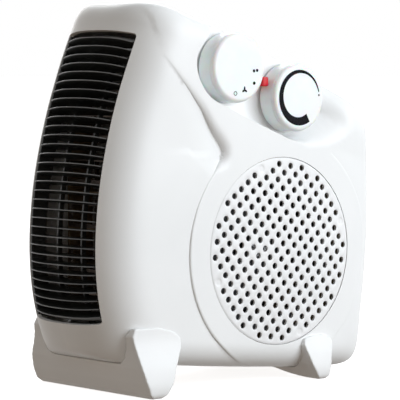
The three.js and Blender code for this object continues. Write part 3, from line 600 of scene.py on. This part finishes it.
def near_features():
    """The intake's ring, and rows of points that follow the niche's and the panel's edges."""
    rows = [circle(FAN, INTAKE_RADIUS + d, 200) for d in (0.5, 1.6)]
    niche = offset_rows(NICHE_LINE, [-0.5, 0, .3, .6, 1, 1.5, 2, 2.4, 2.8, 3.2, 4], 1.2)
    narrow = niche_width(np.linspace(0, 1, len(niche[0]))) < 6
    rows += [row[narrow] for row in niche]
    rows += offset_rows(NECK_LEFT_LINE, [0, .25, .8, 1.7, 3, 4.6, 6.6, 9], 1.3)
    rows += offset_rows(DISC_LINE, [-0.4, 0, .1, .3, .6, 1.1, 1.8], 1.3)
    return [circle(FAN, INTAKE_RADIUS, 200)], rows


def slot_ring(y, z):
    """A cooling slot's outline: two round ends, and points down both sides."""
    radius, reach, turn = 1.5, 11.5, math.pi * 8 / 7
    top = circle((y, z + reach), radius, 8, 0, turn)
    low = circle((y, z - reach), radius, 8, math.pi, math.pi + turn)
    side = [(y - radius, z + k) for k in (7, 3, -1, -5, -8)]
    back = [(y + radius, z + k) for k in (-7, -3, 1, 5, 8)]
    return np.vstack([top, side, low, back])


def far_features():
    rings = [slot_ring(y, z) for y, z in COOLING_SLOTS]
    return rings + [circle(p, SCREW_BORE, 24) for p in BOSSES], []


def build_half(near):
    spacing = 2.2 if near else 2.6
    closest, parting = 0.55, 0.02
    openings, rows = near_features() if near else far_features()
    rings = [rim_and_window()] + openings
    flat_rings = [rings[0]] + [laid_out(ring) for ring in rings[1:]]
    flat_rows = [laid_out(row[inside(row, RIM)]) for row in rows]
    features = np.vstack(flat_rings + flat_rows)
    lattice = thin_out(lattice_points(spacing), features, spacing * closest)

    def keep(middles):
        good = inside(middles, flat_rings[0])
        for ring in flat_rings[1:]:
            good &= ~inside(middles, ring)
        return good

    flat, faces = triangulated(np.vstack([features, lattice]), edges_of(flat_rings), keep)
    base = surface_at(flat)
    points = shaped(base) if near else base[:, :3].copy()
    points[:, 0] = np.maximum(points[:, 0], parting)
    if not near:
        points[:, 0] *= -1
        faces = faces[:, ::-1]
    points, faces = thickened(points, faces, WALL)
    return add_piece("casing_near_half" if near else "casing_far_half", points, faces, 50)


def lathe(profile, centre, sides=96):
    """A closed piece turned round x; the profile is a list of (radius, x)."""
    points, faces = [], []
    angles = 2 * math.pi * np.arange(sides) / sides
    rings = []
    for radius, x in profile:
        if radius < TINY:
            rings.append([len(points)])
            points.append((x, centre[0], centre[1]))
            continue
        rings.append(list(range(len(points), len(points) + sides)))
        for a in angles:
            points.append((x, centre[0] + radius * math.cos(a), centre[1] + radius * math.sin(a)))
    for low, high in zip(rings, rings[1:]):
        for k in range(sides):
            n = (k + 1) % sides
            if len(low) == 1:
                faces.append((low[0], high[k], high[n]))
            elif len(high) == 1:
                faces.append((low[k], high[0], low[n]))
            else:
                faces.append((low[k], high[k], high[n], low[n]))
    return np.array(points), faces


def arc(centre, radius, start, end, steps):
    """(radius, x) points of a rounded profile corner, angles in degrees."""
    angles = np.radians(np.linspace(start, end, steps))
    return [(centre[0] + radius * math.cos(a), centre[1] + radius * math.sin(a)) for a in angles]


def merged(parts):
    """Several (points, faces) as one."""
    points, faces, count = [], [], 0
    for p, f in parts:
        points.append(np.asarray(p, float))
        faces += [tuple(int(i) + count for i in face) for face in f]
        count += len(p)
    return np.vstack(points), faces


def strip_through(sections):
    """A closed strip through a row of cross sections, each a ring of 3-D points."""
    sections = np.asarray(sections, float)
    n, k = sections.shape[:2]
    faces = []
    for i in range(n - 1):
        for j in range(k):
            m = (j + 1) % k
            faces.append((i * k + j, i * k + m, (i + 1) * k + m, (i + 1) * k + j))
    faces.append(tuple(range(k))[::-1])
    faces.append(tuple((n - 1) * k + j for j in range(k)))
    return sections.reshape(-1, 3), faces


# ------------ intake cover

def grid_place(i, j):
    step = INTAKE_PITCH / math.sqrt(2)
    c, s = math.cos(INTAKE_TWIST), math.sin(INTAKE_TWIST)
    return np.array([FAN[0] + step * (c * i - s * j), FAN[1] + step * (s * i + c * j)])


def build_cover():
    """The domed cover: fine points round its rim, its holes and the four closed places."""
    dome, wall, bevel, spacing = 2.0, 2.2, 0.8, 2.5
    dimple, dimple_depth, hole_rim = 2.9, 0.35, 0.22
    radius = INTAKE_RADIUS - GAP
    places = [(i, j) for i in range(-11, 12) for j in range(-11, 12)
              if i * i + j * j <= INTAKE_REACH and (i + j) % 2]
    holes = [grid_place(i, j) for i, j in places if (i, j) not in COVER_FIXINGS]
    fixings = [grid_place(i, j) for i, j in COVER_FIXINGS]
    rings = [circle(FAN, radius, 200)] + [circle(h, INTAKE_HOLE, 20) for h in holes]
    rows = [circle(FAN, radius - 0.5, 200), circle(FAN, radius - 1.4, 160)]
    rows += [circle(h, INTAKE_HOLE + 0.35, 20) for h in holes]
    rows += [circle(f, r, 24) for f in fixings for r in (dimple, 2.5, 2.1, 1.2, 0.4)]
    features = np.vstack(rings + rows)
    y, z = np.meshgrid(np.arange(-64, 65, spacing), np.arange(-64, 65, spacing))
    grid = np.column_stack([y.ravel(), z.ravel()])
    grid = grid[np.hypot(grid[:, 0], grid[:, 1]) < radius - 2] + FAN
    lattice = thin_out(grid, features, 1.3)

    def keep(middles):
        good = np.hypot(*(middles - FAN).T) < radius
        for h in holes:
            good &= np.hypot(*(middles - h).T) > INTAKE_HOLE * 0.985
        return good

    flat, faces = triangulated(np.vstack([features, lattice]), edges_of(rings), keep)
    r = np.hypot(*(flat - FAN).T)
    x = FACE + dome * (1 - (r / INTAKE_RADIUS) ** 2)
    x -= 0.5 * np.clip(1 - (radius - r) / bevel, 0, 1) ** 2
    for h in holes:
        x -= hole_rim * (np.abs(np.hypot(*(flat - h).T) - INTAKE_HOLE) < 0.05)
    for f in fixings:
        x -= dimple_depth * ease((dimple - np.hypot(*(flat - f).T)) / bevel)
    points, faces = thickened(np.column_stack([x, flat]), faces, wall)
    return add_piece("intake_cover_plate", points, faces, 45)


# ------------ outlet grille

SLATS = 32
SLAT_MARGIN = 0.022          # from the window's ends to the first and last slat
SLAT_HALF = 34.2
GRILLE_BACK = 13.5           # depth of the slats behind the front curve


def front_inset(x):
    """How far the rounded front lies behind its middle line."""
    power = SQUARE + FRONT_SQUARE
    return FRONT_DEPTH * (1 - (1 - (np.abs(x) / HALF_WIDTH) ** power) ** (1 / power))


def across_strip(t, thick_edge, thick_back, near):
    """A slat across the front in the plane of the outline's normal, leaning a little."""
    p, along, _ = (row[0] for row in front_frame(np.array([t])))
    lean = 0.20 * t - 0.05
    turn = np.array([[math.cos(lean), math.sin(lean)], [-math.sin(lean), math.cos(lean)]])
    along = turn @ along
    normal = np.array([-along[1], along[0]])
    sections = []
    for x in SLAT_HALF * np.sin(np.linspace(-math.pi / 2, math.pi / 2, 28)):
        tip = front_inset(x) + near
        soft = tip + 0.5
        back = max(GRILLE_BACK, soft + 0.6)
        ring = [(tip, 0.0), (tip + 0.12, thick_edge * 0.32), (soft, thick_edge * 0.5),
                (back, thick_back * 0.5), (back, -thick_back * 0.5),
                (soft, -thick_edge * 0.5), (tip + 0.12, -thick_edge * 0.32)]
        sections.append([(x, *(p - normal * a + along * b)) for a, b in ring])
    return strip_through(sections)


def upright(x0, x1, near, deep):
    t = np.linspace(GRILLE_START + 0.004, GRILLE_END - 0.004, 60)
    rows = zip(front_point(t, near), front_point(t, deep))
    return strip_through([[(x0, *o), (x1, *o), (x1, *i), (x0, *i)] for o, i in rows])


def build_grille():
    """The slats, a thicker strip at each end, and uprights at the sides and behind."""
    edge, back = float(front_inset(35.0)), GRILLE_BACK
    parts = [upright(33.4, 35, edge + 2.5, back + 6), upright(-35.1, -33.4, edge + 0.6, back + 6),
             upright(12, 13.5, back - 0.5, back + 3), upright(-13.5, -12, back - 0.5, back + 3)]
    span = GRILLE_END - GRILLE_START - 2 * SLAT_MARGIN
    for i in range(SLATS):
        t = GRILLE_START + SLAT_MARGIN + span * i / (SLATS - 1)
        parts.append(across_strip(t, 0.8, 1.1, 0.35))
    for t in (GRILLE_START + 0.011, GRILLE_END - 0.011):
        parts.append(across_strip(t, 2.2, 2.6, 4.5))
    return add_piece("outlet_grille_slats", *merged(parts), 40)


# ------------ feet

# Half width of the feet and height above the floor; then each foot's outline from the side.
FOOT_FLARE = [
    (59, 0), (60.9, 2), (61.65, 5), (61.5, 10.5), (59.6, 20), (55.7, 30), (53.5, 38), (52.9, 48),
]
FRONT_FOOT = [
    (-96, 46), (-98.6, 41), (-96.9, 32), (-95.5, 20), (-92.8, 10), (-90, 3), (-87, 0),
    (-78.5, 0), (-75, 2.8), (-71, 8.5), (-65.6, 21), (-59, 31), (-58, 37), (-63, 42), (-76, 45.5),
]
REAR_FOOT = [
    (50.2, 25), (50.8, 21), (54.6, 11), (57.6, 6), (60.5, 1.8), (62.3, 0), (69, 0), (70.8, 2),
    (73.7, 16), (77, 25), (75.5, 28.5), (70, 30), (58, 30), (52, 28.5),
]


def prism(outline, low, high, axis):
    """An outline extruded along x (outline in y, z) or along y (outline in x, z)."""
    column = "xyz".index(axis)
    return strip_through([np.insert(outline, column, v, axis=1) for v in (low, high)])


def recalculated(name, points, faces):
    """A scratch object with outward normals."""
    mesh = bpy.data.meshes.new(name)
    mesh.from_pydata(place(points).tolist(), [], [list(map(int, f)) for f in faces])
    bm = bmesh.new()
    bm.from_mesh(mesh)
    bmesh.ops.recalc_face_normals(bm, faces=bm.faces)
    bm.to_mesh(mesh)
    bm.free()
    return linked(name, mesh)


def casing_cutter(grow):
    """The plain casing body grown by grow, as one closed mesh."""
    chosen = np.arange(0, COLUMNS, 3)
    count, rows = len(chosen), 16
    points, faces = [], []
    for side in (1, -1):
        for k in range(rows + 1):
            at = k / rows * (SAMPLES - 1)
            i = min(int(at), SAMPLES - 2)
            row = TABLE[chosen, i] * (1 - at + i) + TABLE[chosen, i + 1] * (at - i)
            yz = FACE_LINE[chosen] + OUT[chosen] * (row[:, 1:2] + grow)
            x = row[:, 0] * (1 + grow / HALF_WIDTH) if k < rows else np.zeros(count)
            points.append(np.column_stack([side * x, yz]))

    def strip(low, high, flip):
        for j in range(count):
            m = (j + 1) % count
            quad = (low * count + j, low * count + m, high * count + m, high * count + j)
            faces.append(quad[::-1] if flip else quad)

    for k in range(rows):
        strip(k, k + 1, False)
    strip(rows, 2 * rows, True)
    for k in range(rows - 1):
        strip(rows + 1 + k, rows + 2 + k, True)
    faces.append(tuple(range(count)))
    faces.append(tuple((rows + 1) * count + j for j in range(count))[::-1])
    return np.vstack(points), faces


def carve(target, tool, operation):
    modifier = target.modifiers.new("carve", "BOOLEAN")
    modifier.operation = operation
    modifier.object = tool
    modifier.solver = "EXACT"


def build_foot(name, outline, bore_y, cutters):
    """A bar across the heater, cut by the cutters and by the bores of its two screws."""
    bar = recalculated("scratch_bar", *prism(outline, -66.0, 66.0, "x"))
    flare = spline(FOOT_FLARE, 28)
    ends = np.vstack([flare, flare[::-1] * (-1, 1)])
    tools = [recalculated("scratch_ends", *prism(ends, -140.0, 140.0, "y"))]
    carve(bar, tools[0], "INTERSECT")
    for cutter in cutters:
        carve(bar, cutter, "DIFFERENCE")
    for x in (-30, 30):
        bore = [(0, -3), (SCREW_BORE, -3), (SCREW_BORE, 30), (0, 30)]
        points, faces = lathe(bore, (0, 0), 32)
        points = points[:, [1, 2, 0]] + (x, bore_y, 0)
        tools.append(recalculated("scratch_bore", points, faces))
        carve(bar, tools[-1], "DIFFERENCE")
    remesh = bar.modifiers.new("remesh", "REMESH")
    remesh.mode = "VOXEL"
    remesh.voxel_size = 0.65 * MM
    remesh.use_smooth_shade = True
    soften = bar.modifiers.new("soften", "SMOOTH")
    soften.factor = 0.5
    soften.iterations = 4
    finished = bar.evaluated_get(bpy.context.evaluated_depsgraph_get())
    mesh = bpy.data.meshes.new_from_object(finished)
    mesh.shade_smooth()
    for scratch in [bar] + tools:
        bpy.data.objects.remove(scratch)
    return linked(name, mesh)


def rear_arch():
    """Cuts a low arch under the rear foot, so that it stands on its two ends."""
    half, height, rise = 52, 4.5, 0.0038
    x = np.linspace(-half, half, 25)
    arch = np.column_stack([x, np.minimum(height, rise * (half - np.abs(x)) ** 2)])
    outline = np.vstack([arch, [(half, -5), (-half, -5)]])
    return recalculated("scratch_arch", *prism(outline, 30.0, 100.0, "y"))


# ------------ knobs, lens, small parts

FUNCTION_RADIUS, THERMOSTAT_RADIUS = 23.4, 23.2
KNOB_BACK, KNOB_FACE = 39.0, 53.85
FUNCTION_CENTRE = joint_centre("function_turn")
THERMOSTAT_CENTRE = joint_centre("thermostat_turn")


def knob_profile(radius):
    """Half section of a hollow cap: rounded front edge, a small bead, a hub on the axis."""
    edge, hub, shaft, wall = 2.6, 6.5, 3.2, 2.2
    front, inner = KNOB_FACE, KNOB_FACE - 3
    profile = [(0, front), (radius * 0.35, front), (radius * 0.7, front)]
    profile += [(radius - edge - 1, front)]
    profile += arc((radius - edge - 0.25, front - edge), edge, 90, 14, 9)
    profile += [(radius - 0.3, front - edge - 0.4), (radius, front - edge - 0.75)]
    profile += [(radius, front - edge - 1.3), (radius, KNOB_BACK + 2), (radius, KNOB_BACK + 0.5)]
    profile += arc((radius - 0.5, KNOB_BACK + 0.5), 0.5, 0, -90, 3)
    profile += [(radius - wall, KNOB_BACK), (radius - wall, inner), (hub, inner)]
    profile += [(hub, KNOB_BACK), (shaft, KNOB_BACK), (shaft, 50.0), (0, 50.0)]
    return profile[::-1]


def build_knob(name, centre, radius):
    return add_piece(name, *lathe(knob_profile(radius), centre, 120), 32)


def flat_mark(outline):
    """A thin raised mark on a knob's face, from a closed outline in the side view."""
    return prism(outline, KNOB_FACE - 0.05, KNOB_FACE + 0.12, "x")


def ring_mark(centre, outer, inner, start=0, end=360, steps=48):
    """A ring, or part of one; inner may be a list, for a wedge bent round the centre."""
    angles = np.radians(np.linspace(start, end, steps))
    aims = np.column_stack([np.cos(angles), np.sin(angles)])
    outside = centre + outer * aims
    within = centre + np.reshape(inner, (-1, 1)) * aims
    return merged([flat_mark([outside[k], outside[k + 1], within[k + 1], within[k]])
                   for k in range(steps - 1)])


def dot_mark(centre, radius):
    return flat_mark(circle(centre, radius, 24))


def fan_mark(centre):
    """Three oval blades round a centre."""
    parts = []
    for k in range(3):
        angle = math.radians(90 + 120 * k)
        c, s = math.cos(angle), math.sin(angle)
        blade = circle((0, 0), 1, 16) * (1.25, 0.68)
        turned = blade @ np.array([[c, -s], [s, c]]).T
        parts.append(flat_mark(turned + (centre[0] + 1.15 * c, centre[1] + 1.15 * s)))
    return parts


def build_marks():
    """Off, fan, one dot and two dots on one knob; a wedge and a dot on the other."""
    parts = [ring_mark((-10.5, 197.25), 1.5, 1.1), dot_mark((6.375, 204.0), 1.15)]
    parts += [dot_mark((6.2, 212.25), 1.05), dot_mark((9.0, 212.55), 1.05)]
    parts += fan_mark((-2.25, 199.5))
    function = add_piece("function_knob_marks", *merged(parts))
    steps, outer, dot_at = 90, 19.0, math.radians(5)
    inner = outer - np.linspace(0.8, 6.2, steps)
    y, z = THERMOSTAT_CENTRE
    dot = dot_mark((y + 18.4 * math.cos(dot_at), z + 18.4 * math.sin(dot_at)), 0.7)
    wedge = ring_mark((y, z), outer, inner, 12, 300, steps)
    return function, add_piece("thermostat_knob_marks", *merged([wedge, dot]))


def build_lens():
    """A small window with rounded corners and a bevelled, slightly domed front."""
    y, z, w, h, corner, dome = 23.0, 205.0, 2.8, 3.2, 0.28, 47.5
    rows = [(34.5, 0), (46.3, 0), (46.9, -0.25), (47.25, -0.6), (47.4, -1.1)]
    points, count = [], 32
    for x, shrink in rows:
        for k in range(count):
            a = 2 * math.pi * (k + 0.5) / count
            c, s = math.cos(a), math.sin(a)
            py = (w + shrink) * math.copysign(abs(c) ** corner, c)
            pz = (h + shrink) * math.copysign(abs(s) ** corner, s)
            points.append((x, y + py, z + pz))
    faces = [tuple(range(count))]
    for r in range(len(rows) - 1):
        for k in range(count):
            m = (k + 1) % count
            faces.append((r * count + k, (r + 1) * count + k, (r + 1) * count + m, r * count + m))
    points.append((dome, y, z))
    top = (len(rows) - 1) * count
    faces += [(top + k, len(points) - 1, top + (k + 1) % count) for k in range(count)]
    return add_piece("indicator_window", points, faces, 60)


# ------------ materials

def shader(name):
    material = bpy.data.materials.new(name)
    material.use_nodes = True
    tree = material.node_tree
    return material, tree, tree.nodes["Principled BSDF"]


def set_inputs(node, **values):
    for name, value in values.items():
        node.inputs[name.replace("_", " ")].default_value = value


def add_node(tree, kind, source=None, socket=0, **values):
    """A new node whose socket is fed by source; values name its other inputs."""
    node = tree.nodes.new(kind)
    set_inputs(node, **values)
    if source is not None:
        tree.links.new(source, node.inputs[socket])
    return node


def colour_ramp(tree, source, first, second, low=0.0, high=1.0):
    ramp = add_node(tree, "ShaderNodeValToRGB", source)
    stops = ramp.color_ramp.elements
    for stop, position, colour in zip(stops, (low, high), (first, second)):
        stop.position = position
        stop.color = (*colour, 1)
    return ramp.outputs["Color"]


def finish_of(name, first, second, *, rough=(0.35, 0.45), blotch=14.0, grain=1400.0, bump=0.06,
              metallic=0.0, edge_highlight=None, streak=None, specular=0.5, depth=0.0):
    """A procedural finish: slow blotches from the first colour to the second, fine grain in
    roughness and height, and convex edges lightened towards a lighter colour as a painted
    highlight."""
    material, tree, bsdf = shader(name)
    links = tree.links
    source = add_node(tree, "ShaderNodeTexCoord").outputs["Object"]
    if streak is not None:
        source = add_node(tree, "ShaderNodeMapping", source, Scale=streak).outputs["Vector"]
    slow, fine = (add_node(tree, "ShaderNodeTexNoise", source, "Vector", Scale=scale, Detail=detail)
                  for scale, detail in ((blotch, 4), (grain, 3)))
    colour = colour_ramp(tree, slow.outputs["Fac"], first, second, 0.35, 0.68)
    # Painted highlight: convex edges, found by pointiness, are mixed towards the lighter edge
    # colour.
    if edge_highlight is not None:
        pointed = add_node(tree, "ShaderNodeNewGeometry").outputs["Pointiness"]
        edge = add_node(tree, "ShaderNodeMapRange", pointed, "Value", From_Min=0.52, From_Max=0.62,
                        To_Max=0.6)
        mix = add_node(tree, "ShaderNodeMixRGB", colour, "Color1", Color2=(*edge_highlight, 1))
        links.new(edge.outputs["Result"], mix.inputs["Fac"])
        colour = mix.outputs["Color"]
    links.new(colour, bsdf.inputs["Base Color"])
    span = add_node(tree, "ShaderNodeMapRange", fine.outputs["Fac"], "Value", From_Min=0.3,
                    From_Max=0.7, To_Min=rough[0], To_Max=rough[1])
    links.new(span.outputs["Result"], bsdf.inputs["Roughness"])
    height = add_node(tree, "ShaderNodeBump", fine.outputs["Fac"], "Height", Strength=bump,
                      Distance=0.0004)
    links.new(height.outputs["Normal"], bsdf.inputs["Normal"])
    set_inputs(bsdf, Metallic=metallic, Specular_IOR_Level=specular, Subsurface_Weight=depth,
               Subsurface_Scale=0.004)
    return material


# A finish's lighter edge colour below is a painted highlight on its convex edges.
CASING = finish_of("moulded_white", (0.800, 0.812, 0.818), (0.835, 0.845, 0.850),
                   rough=(0.36, 0.46), edge_highlight=(0.86, 0.865, 0.865))
COVER = finish_of("cover_white", (0.790, 0.798, 0.808), (0.825, 0.832, 0.840),
                  rough=(0.40, 0.50), grain=1700)
KNOB = finish_of("knob_white", (0.830, 0.850, 0.858), (0.860, 0.876, 0.882),
                 rough=(0.30, 0.38), edge_highlight=(0.9, 0.9, 0.9), grain=1800, depth=0.5)
FOOT = finish_of("foot_white", (0.780, 0.790, 0.796), (0.825, 0.832, 0.838),
                 rough=(0.42, 0.54), grain=1100, bump=0.1)
GRILLE = finish_of("black_grille", (0.012, 0.013, 0.013), (0.024, 0.026, 0.026),
                   rough=(0.26, 0.38), edge_highlight=(0.06, 0.065, 0.065), bump=0.1)
# Painted highlight: a lighter black for the slats' front edges, where light catches them.
SLAT_EDGE_HIGHLIGHT = finish_of("slat_edge_painted_highlight", (0.10, 0.105, 0.108), (0.17, 0.178, 0.18),
                        rough=(0.30, 0.42), blotch=70, bump=0.1)
INK = finish_of("knob_ink", (0.006, 0.006, 0.007), (0.014, 0.014, 0.016),
                rough=(0.75, 0.85), blotch=500, specular=0.08)
RUBBER = finish_of("pad_rubber", (0.018, 0.018, 0.019), (0.045, 0.045, 0.046),
                   rough=(0.75, 0.9), blotch=60, grain=2200, bump=0.3)
DARK = finish_of("dark_plastic", (0.014, 0.014, 0.016), (0.032, 0.032, 0.035),
                 rough=(0.4, 0.55), edge_highlight=(0.07, 0.07, 0.075))
DUCT = finish_of("duct_plastic", (0.34, 0.25, 0.15), (0.44, 0.33, 0.21),
                 rough=(0.5, 0.65), blotch=30)
MICA = finish_of("mica_board", (0.09, 0.06, 0.03), (0.18, 0.12, 0.06),
                 rough=(0.35, 0.6), blotch=160, grain=900, bump=0.3, streak=(1, 1, 4))
RIBBON = finish_of("heater_ribbon", (0.10, 0.08, 0.07), (0.20, 0.16, 0.13),
                   rough=(0.3, 0.5), blotch=90, metallic=0.9)
COPPER = finish_of("enamelled_winding", (0.30, 0.10, 0.03), (0.50, 0.20, 0.07),
                   rough=(0.25, 0.45), blotch=200, grain=700, bump=0.6, metallic=0.5,
                   streak=(6, 1, 1))
LAMINATION = finish_of("lamination_steel", (0.13, 0.13, 0.14), (0.24, 0.24, 0.26),
                       rough=(0.35, 0.5), blotch=80, grain=900, bump=0.5, metallic=0.9,
                       streak=(8, 1, 1))
STEEL = finish_of("plated_steel", (0.42, 0.42, 0.43), (0.62, 0.62, 0.63),
                  rough=(0.22, 0.36), blotch=60, metallic=1.0, streak=(1, 1, 3))
BRONZE = finish_of("bush_bronze", (0.34, 0.20, 0.08), (0.50, 0.32, 0.14),
                   rough=(0.3, 0.45), blotch=120, metallic=1.0)
GLASS = finish_of("lamp_glass", (0.62, 0.40, 0.22), (0.75, 0.55, 0.35),
                  rough=(0.05, 0.12), blotch=300)


def lens_material():
    material, tree, bsdf = shader("red_lens")
    source = add_node(tree, "ShaderNodeTexCoord").outputs["Object"]
    noise = add_node(tree, "ShaderNodeTexNoise", source, "Vector", Scale=260)
    colour = colour_ramp(tree, noise.outputs["Fac"], (0.42, 0.006, 0.012), (0.62, 0.016, 0.024))
    tree.links.new(colour, bsdf.inputs["Base Color"])
    tree.links.new(colour, bsdf.inputs["Emission Color"])
    set_inputs(bsdf, Emission_Strength=0.14, Roughness=0.38, Specular_IOR_Level=0.3)
    return material


LENS = lens_material()


def give(piece, material):
    piece.data.materials.clear()
    piece.data.materials.append(material)


# ------------ pieces

def stand_in(piece, node, body, material):
    """Gives a piece its material and body, and hides the CAD node that it replaces."""
    give(piece, material)
    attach(piece, body)
    if node:
        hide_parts(node)


stand_in(build_half(True), "near_shell", "housing", CASING)
stand_in(build_half(False), "far_shell", "housing", CASING)
stand_in(build_cover(), "intake_cover", "housing", COVER)
grille = build_grille()
stand_in(grille, "outlet_grille", "housing", GRILLE)
grille.data.materials.append(SLAT_EDGE_HIGHLIGHT)
EDGE_HEIGHT, EDGE_LENGTH = 0.75 * MM, 6.0 * MM    # a slat's front edge has faces below these
# The slats' narrow front-edge faces take the lighter material: a painted highlight.
for polygon in grille.data.polygons:
    corners = [grille.data.vertices[v].co for v in polygon.vertices]
    lengths = sorted((a - b).length for a, b in zip(corners, corners[1:] + corners[:1]))
    if len(corners) == 4 and lengths[0] < EDGE_HEIGHT and lengths[-1] < EDGE_LENGTH:
        polygon.material_index = 1

casing_tool = recalculated("scratch_casing", *casing_cutter(0.36))
arch_tool = rear_arch()
FEET = [("front_foot", FRONT_FOOT, -80.0, [casing_tool]),
        ("rear_foot", REAR_FOOT, 66.0, [casing_tool, arch_tool])]
for node, outline, bore_y, cutters in FEET:
    foot = build_foot(f"{node}_bar", outline, bore_y, cutters)
    stand_in(foot, node, "housing", FOOT)
for tool in (casing_tool, arch_tool):
    bpy.data.objects.remove(tool)

KNOBS = [("function_knob", FUNCTION_CENTRE, FUNCTION_RADIUS, "function_control"),
         ("thermostat_knob", THERMOSTAT_CENTRE, THERMOSTAT_RADIUS, "thermostat_control")]
for node, centre, radius, body in KNOBS:
    stand_in(build_knob(f"{node}_cap", centre, radius), node, body, KNOB)
for (node, centre, radius, body), marks in zip(KNOBS, build_marks()):
    stand_in(marks, None, body, INK)
stand_in(build_lens(), "indicator_lens", "housing", LENS)

PAD_PROFILE = [
    (0, -61.5), (4.9, -61.5), (5.2, -61.8), (6.6, -61.8), (7.4, -61.7), (8.2, -61.1), (8.5, -60.2),
    (8.5, -53.0), (8.3, -52.3), (0, -52.3),
]
for index in (1, 2):
    node = f"rest_pad_{index}"
    pad = add_piece(f"rest_pad_cap_{index}", *lathe(PAD_PROFILE, box_centre(node), 48), 40)
    stand_in(pad, node, "housing", RUBBER)

CARRIED = [
    (DARK, "function_shaft thermostat_shaft rotary_switch fan_impeller cord_gland terminal_block"),
    (STEEL, "thermostat motor_shaft near_bearing_bracket far_bearing_bracket thermal_cutout"),
    (STEEL, "thermal_fuse impeller_clip"),
    (LAMINATION, "motor_stator motor_rotor"),
    (BRONZE, "near_bearing_bush far_bearing_bush"),
    (RIBBON, "heating_ribbon_front heating_ribbon_rear"),
    (GLASS, "neon_lamp"), (COPPER, "motor_coil"), (DUCT, "air_duct"), (MICA, "mica_frame"),
    (STEEL, " ".join(name for name in frame["nodes"] if "screw" in name)),
]
for material, names in CARRIED:
    for name in names.split():
        give(frame["nodes"][name], material)

# ------------ stage and light

def build_stage():
    """A floor that glows faintly, and that the object's bounced light doesn't meet."""
    size = 60.0
    points = [(-size, -size, 0), (size, -size, 0), (size, size, 0), (-size, size, 0)]
    mesh = bpy.data.meshes.new("floor")
    mesh.from_pydata(points, [], [(0, 1, 2, 3)])
    floor = linked("floor", mesh)
    material = finish_of("pale_floor", (0.70, 0.70, 0.70), (0.73, 0.73, 0.73), blotch=3, grain=300,
                         rough=(0.8, 0.9), bump=0.02, specular=0.1)
    bsdf = material.node_tree.nodes["Principled BSDF"]
    set_inputs(bsdf, Emission_Color=(1, 1, 1, 1), Emission_Strength=0.84)
    give(floor, material)
    floor.visible_diffuse = False
    floor.visible_glossy = False


def area_light(name, at, aim, size, power, colour):
    data = bpy.data.lights.new(name, "AREA")
    data.shape = "RECTANGLE"
    data.size, data.size_y = size
    data.energy = power
    data.color = colour
    light = linked(name, data)
    light.location = at
    light.rotation_euler = (Vector(aim) - Vector(at)).to_track_quat("-Z", "Y").to_euler()


def build_world():
    """Dim and warm from below, brighter round the horizon, softer from above, and plain
    white to the camera and in reflections."""
    world = bpy.data.worlds.new("studio")
    bpy.context.scene.world = world
    world.use_nodes = True
    tree = world.node_tree
    direction = add_node(tree, "ShaderNodeTexCoord").outputs["Generated"]
    height = add_node(tree, "ShaderNodeSeparateXYZ", direction).outputs["Z"]
    span = add_node(tree, "ShaderNodeMapRange", height, "Value", From_Min=-1.0, From_Max=1.0)
    (low, first), *middle, (high, last) = WORLD_STOPS
    colour = colour_ramp(tree, span.outputs["Result"], first, last, low, high)
    for position, shade in middle:
        stop = colour.node.color_ramp.elements.new(position)
        stop.color = (*shade, 1)
    path = add_node(tree, "ShaderNodeLightPath").outputs
    seen = add_node(tree, "ShaderNodeMath", path["Is Camera Ray"])
    seen.operation = "MAXIMUM"
    tree.links.new(path["Is Glossy Ray"], seen.inputs[1])
    mix = add_node(tree, "ShaderNodeMixRGB", colour, "Color1", Color2=(1, 1, 1, 1))
    tree.links.new(seen.outputs[0], mix.inputs["Fac"])
    tree.links.new(mix.outputs["Color"], tree.nodes["Background"].inputs["Color"])


# Share of the way from straight down to straight up, and the colour there.
WORLD_STOPS = [
    (0.0, (0.07, 0.05, 0.035)),
    (0.47, (0.20, 0.145, 0.10)),
    (0.53, (1.0, 0.86, 0.71)),
    (0.68, (0.24, 0.25, 0.25)),
    (1.0, (0.32, 0.33, 0.34)),
]

build_stage()
build_world()
# Name, place, aim, size, power in watts and colour.
LIGHTS = [
    ("key", (1.40, 0.66, 0.64), (0, 0.02, 0.12), (1.3, 1.2), 26.5, (0.885, 0.945, 1.0)),
    ("top", (0.3, 0.5, 1.5), (0, 0, 0.1), (1.4, 1.4), 3, (1.0, 1.0, 1.0)),
    ("fill", (-1.5, 0.9, 1.0), (0, 0, 0.1), (1.4, 1.4), 16, (1.0, 1.0, 1.0)),
]
for light in LIGHTS:
    area_light(*light)
bpy.context.scene.view_settings.view_transform = "Standard"
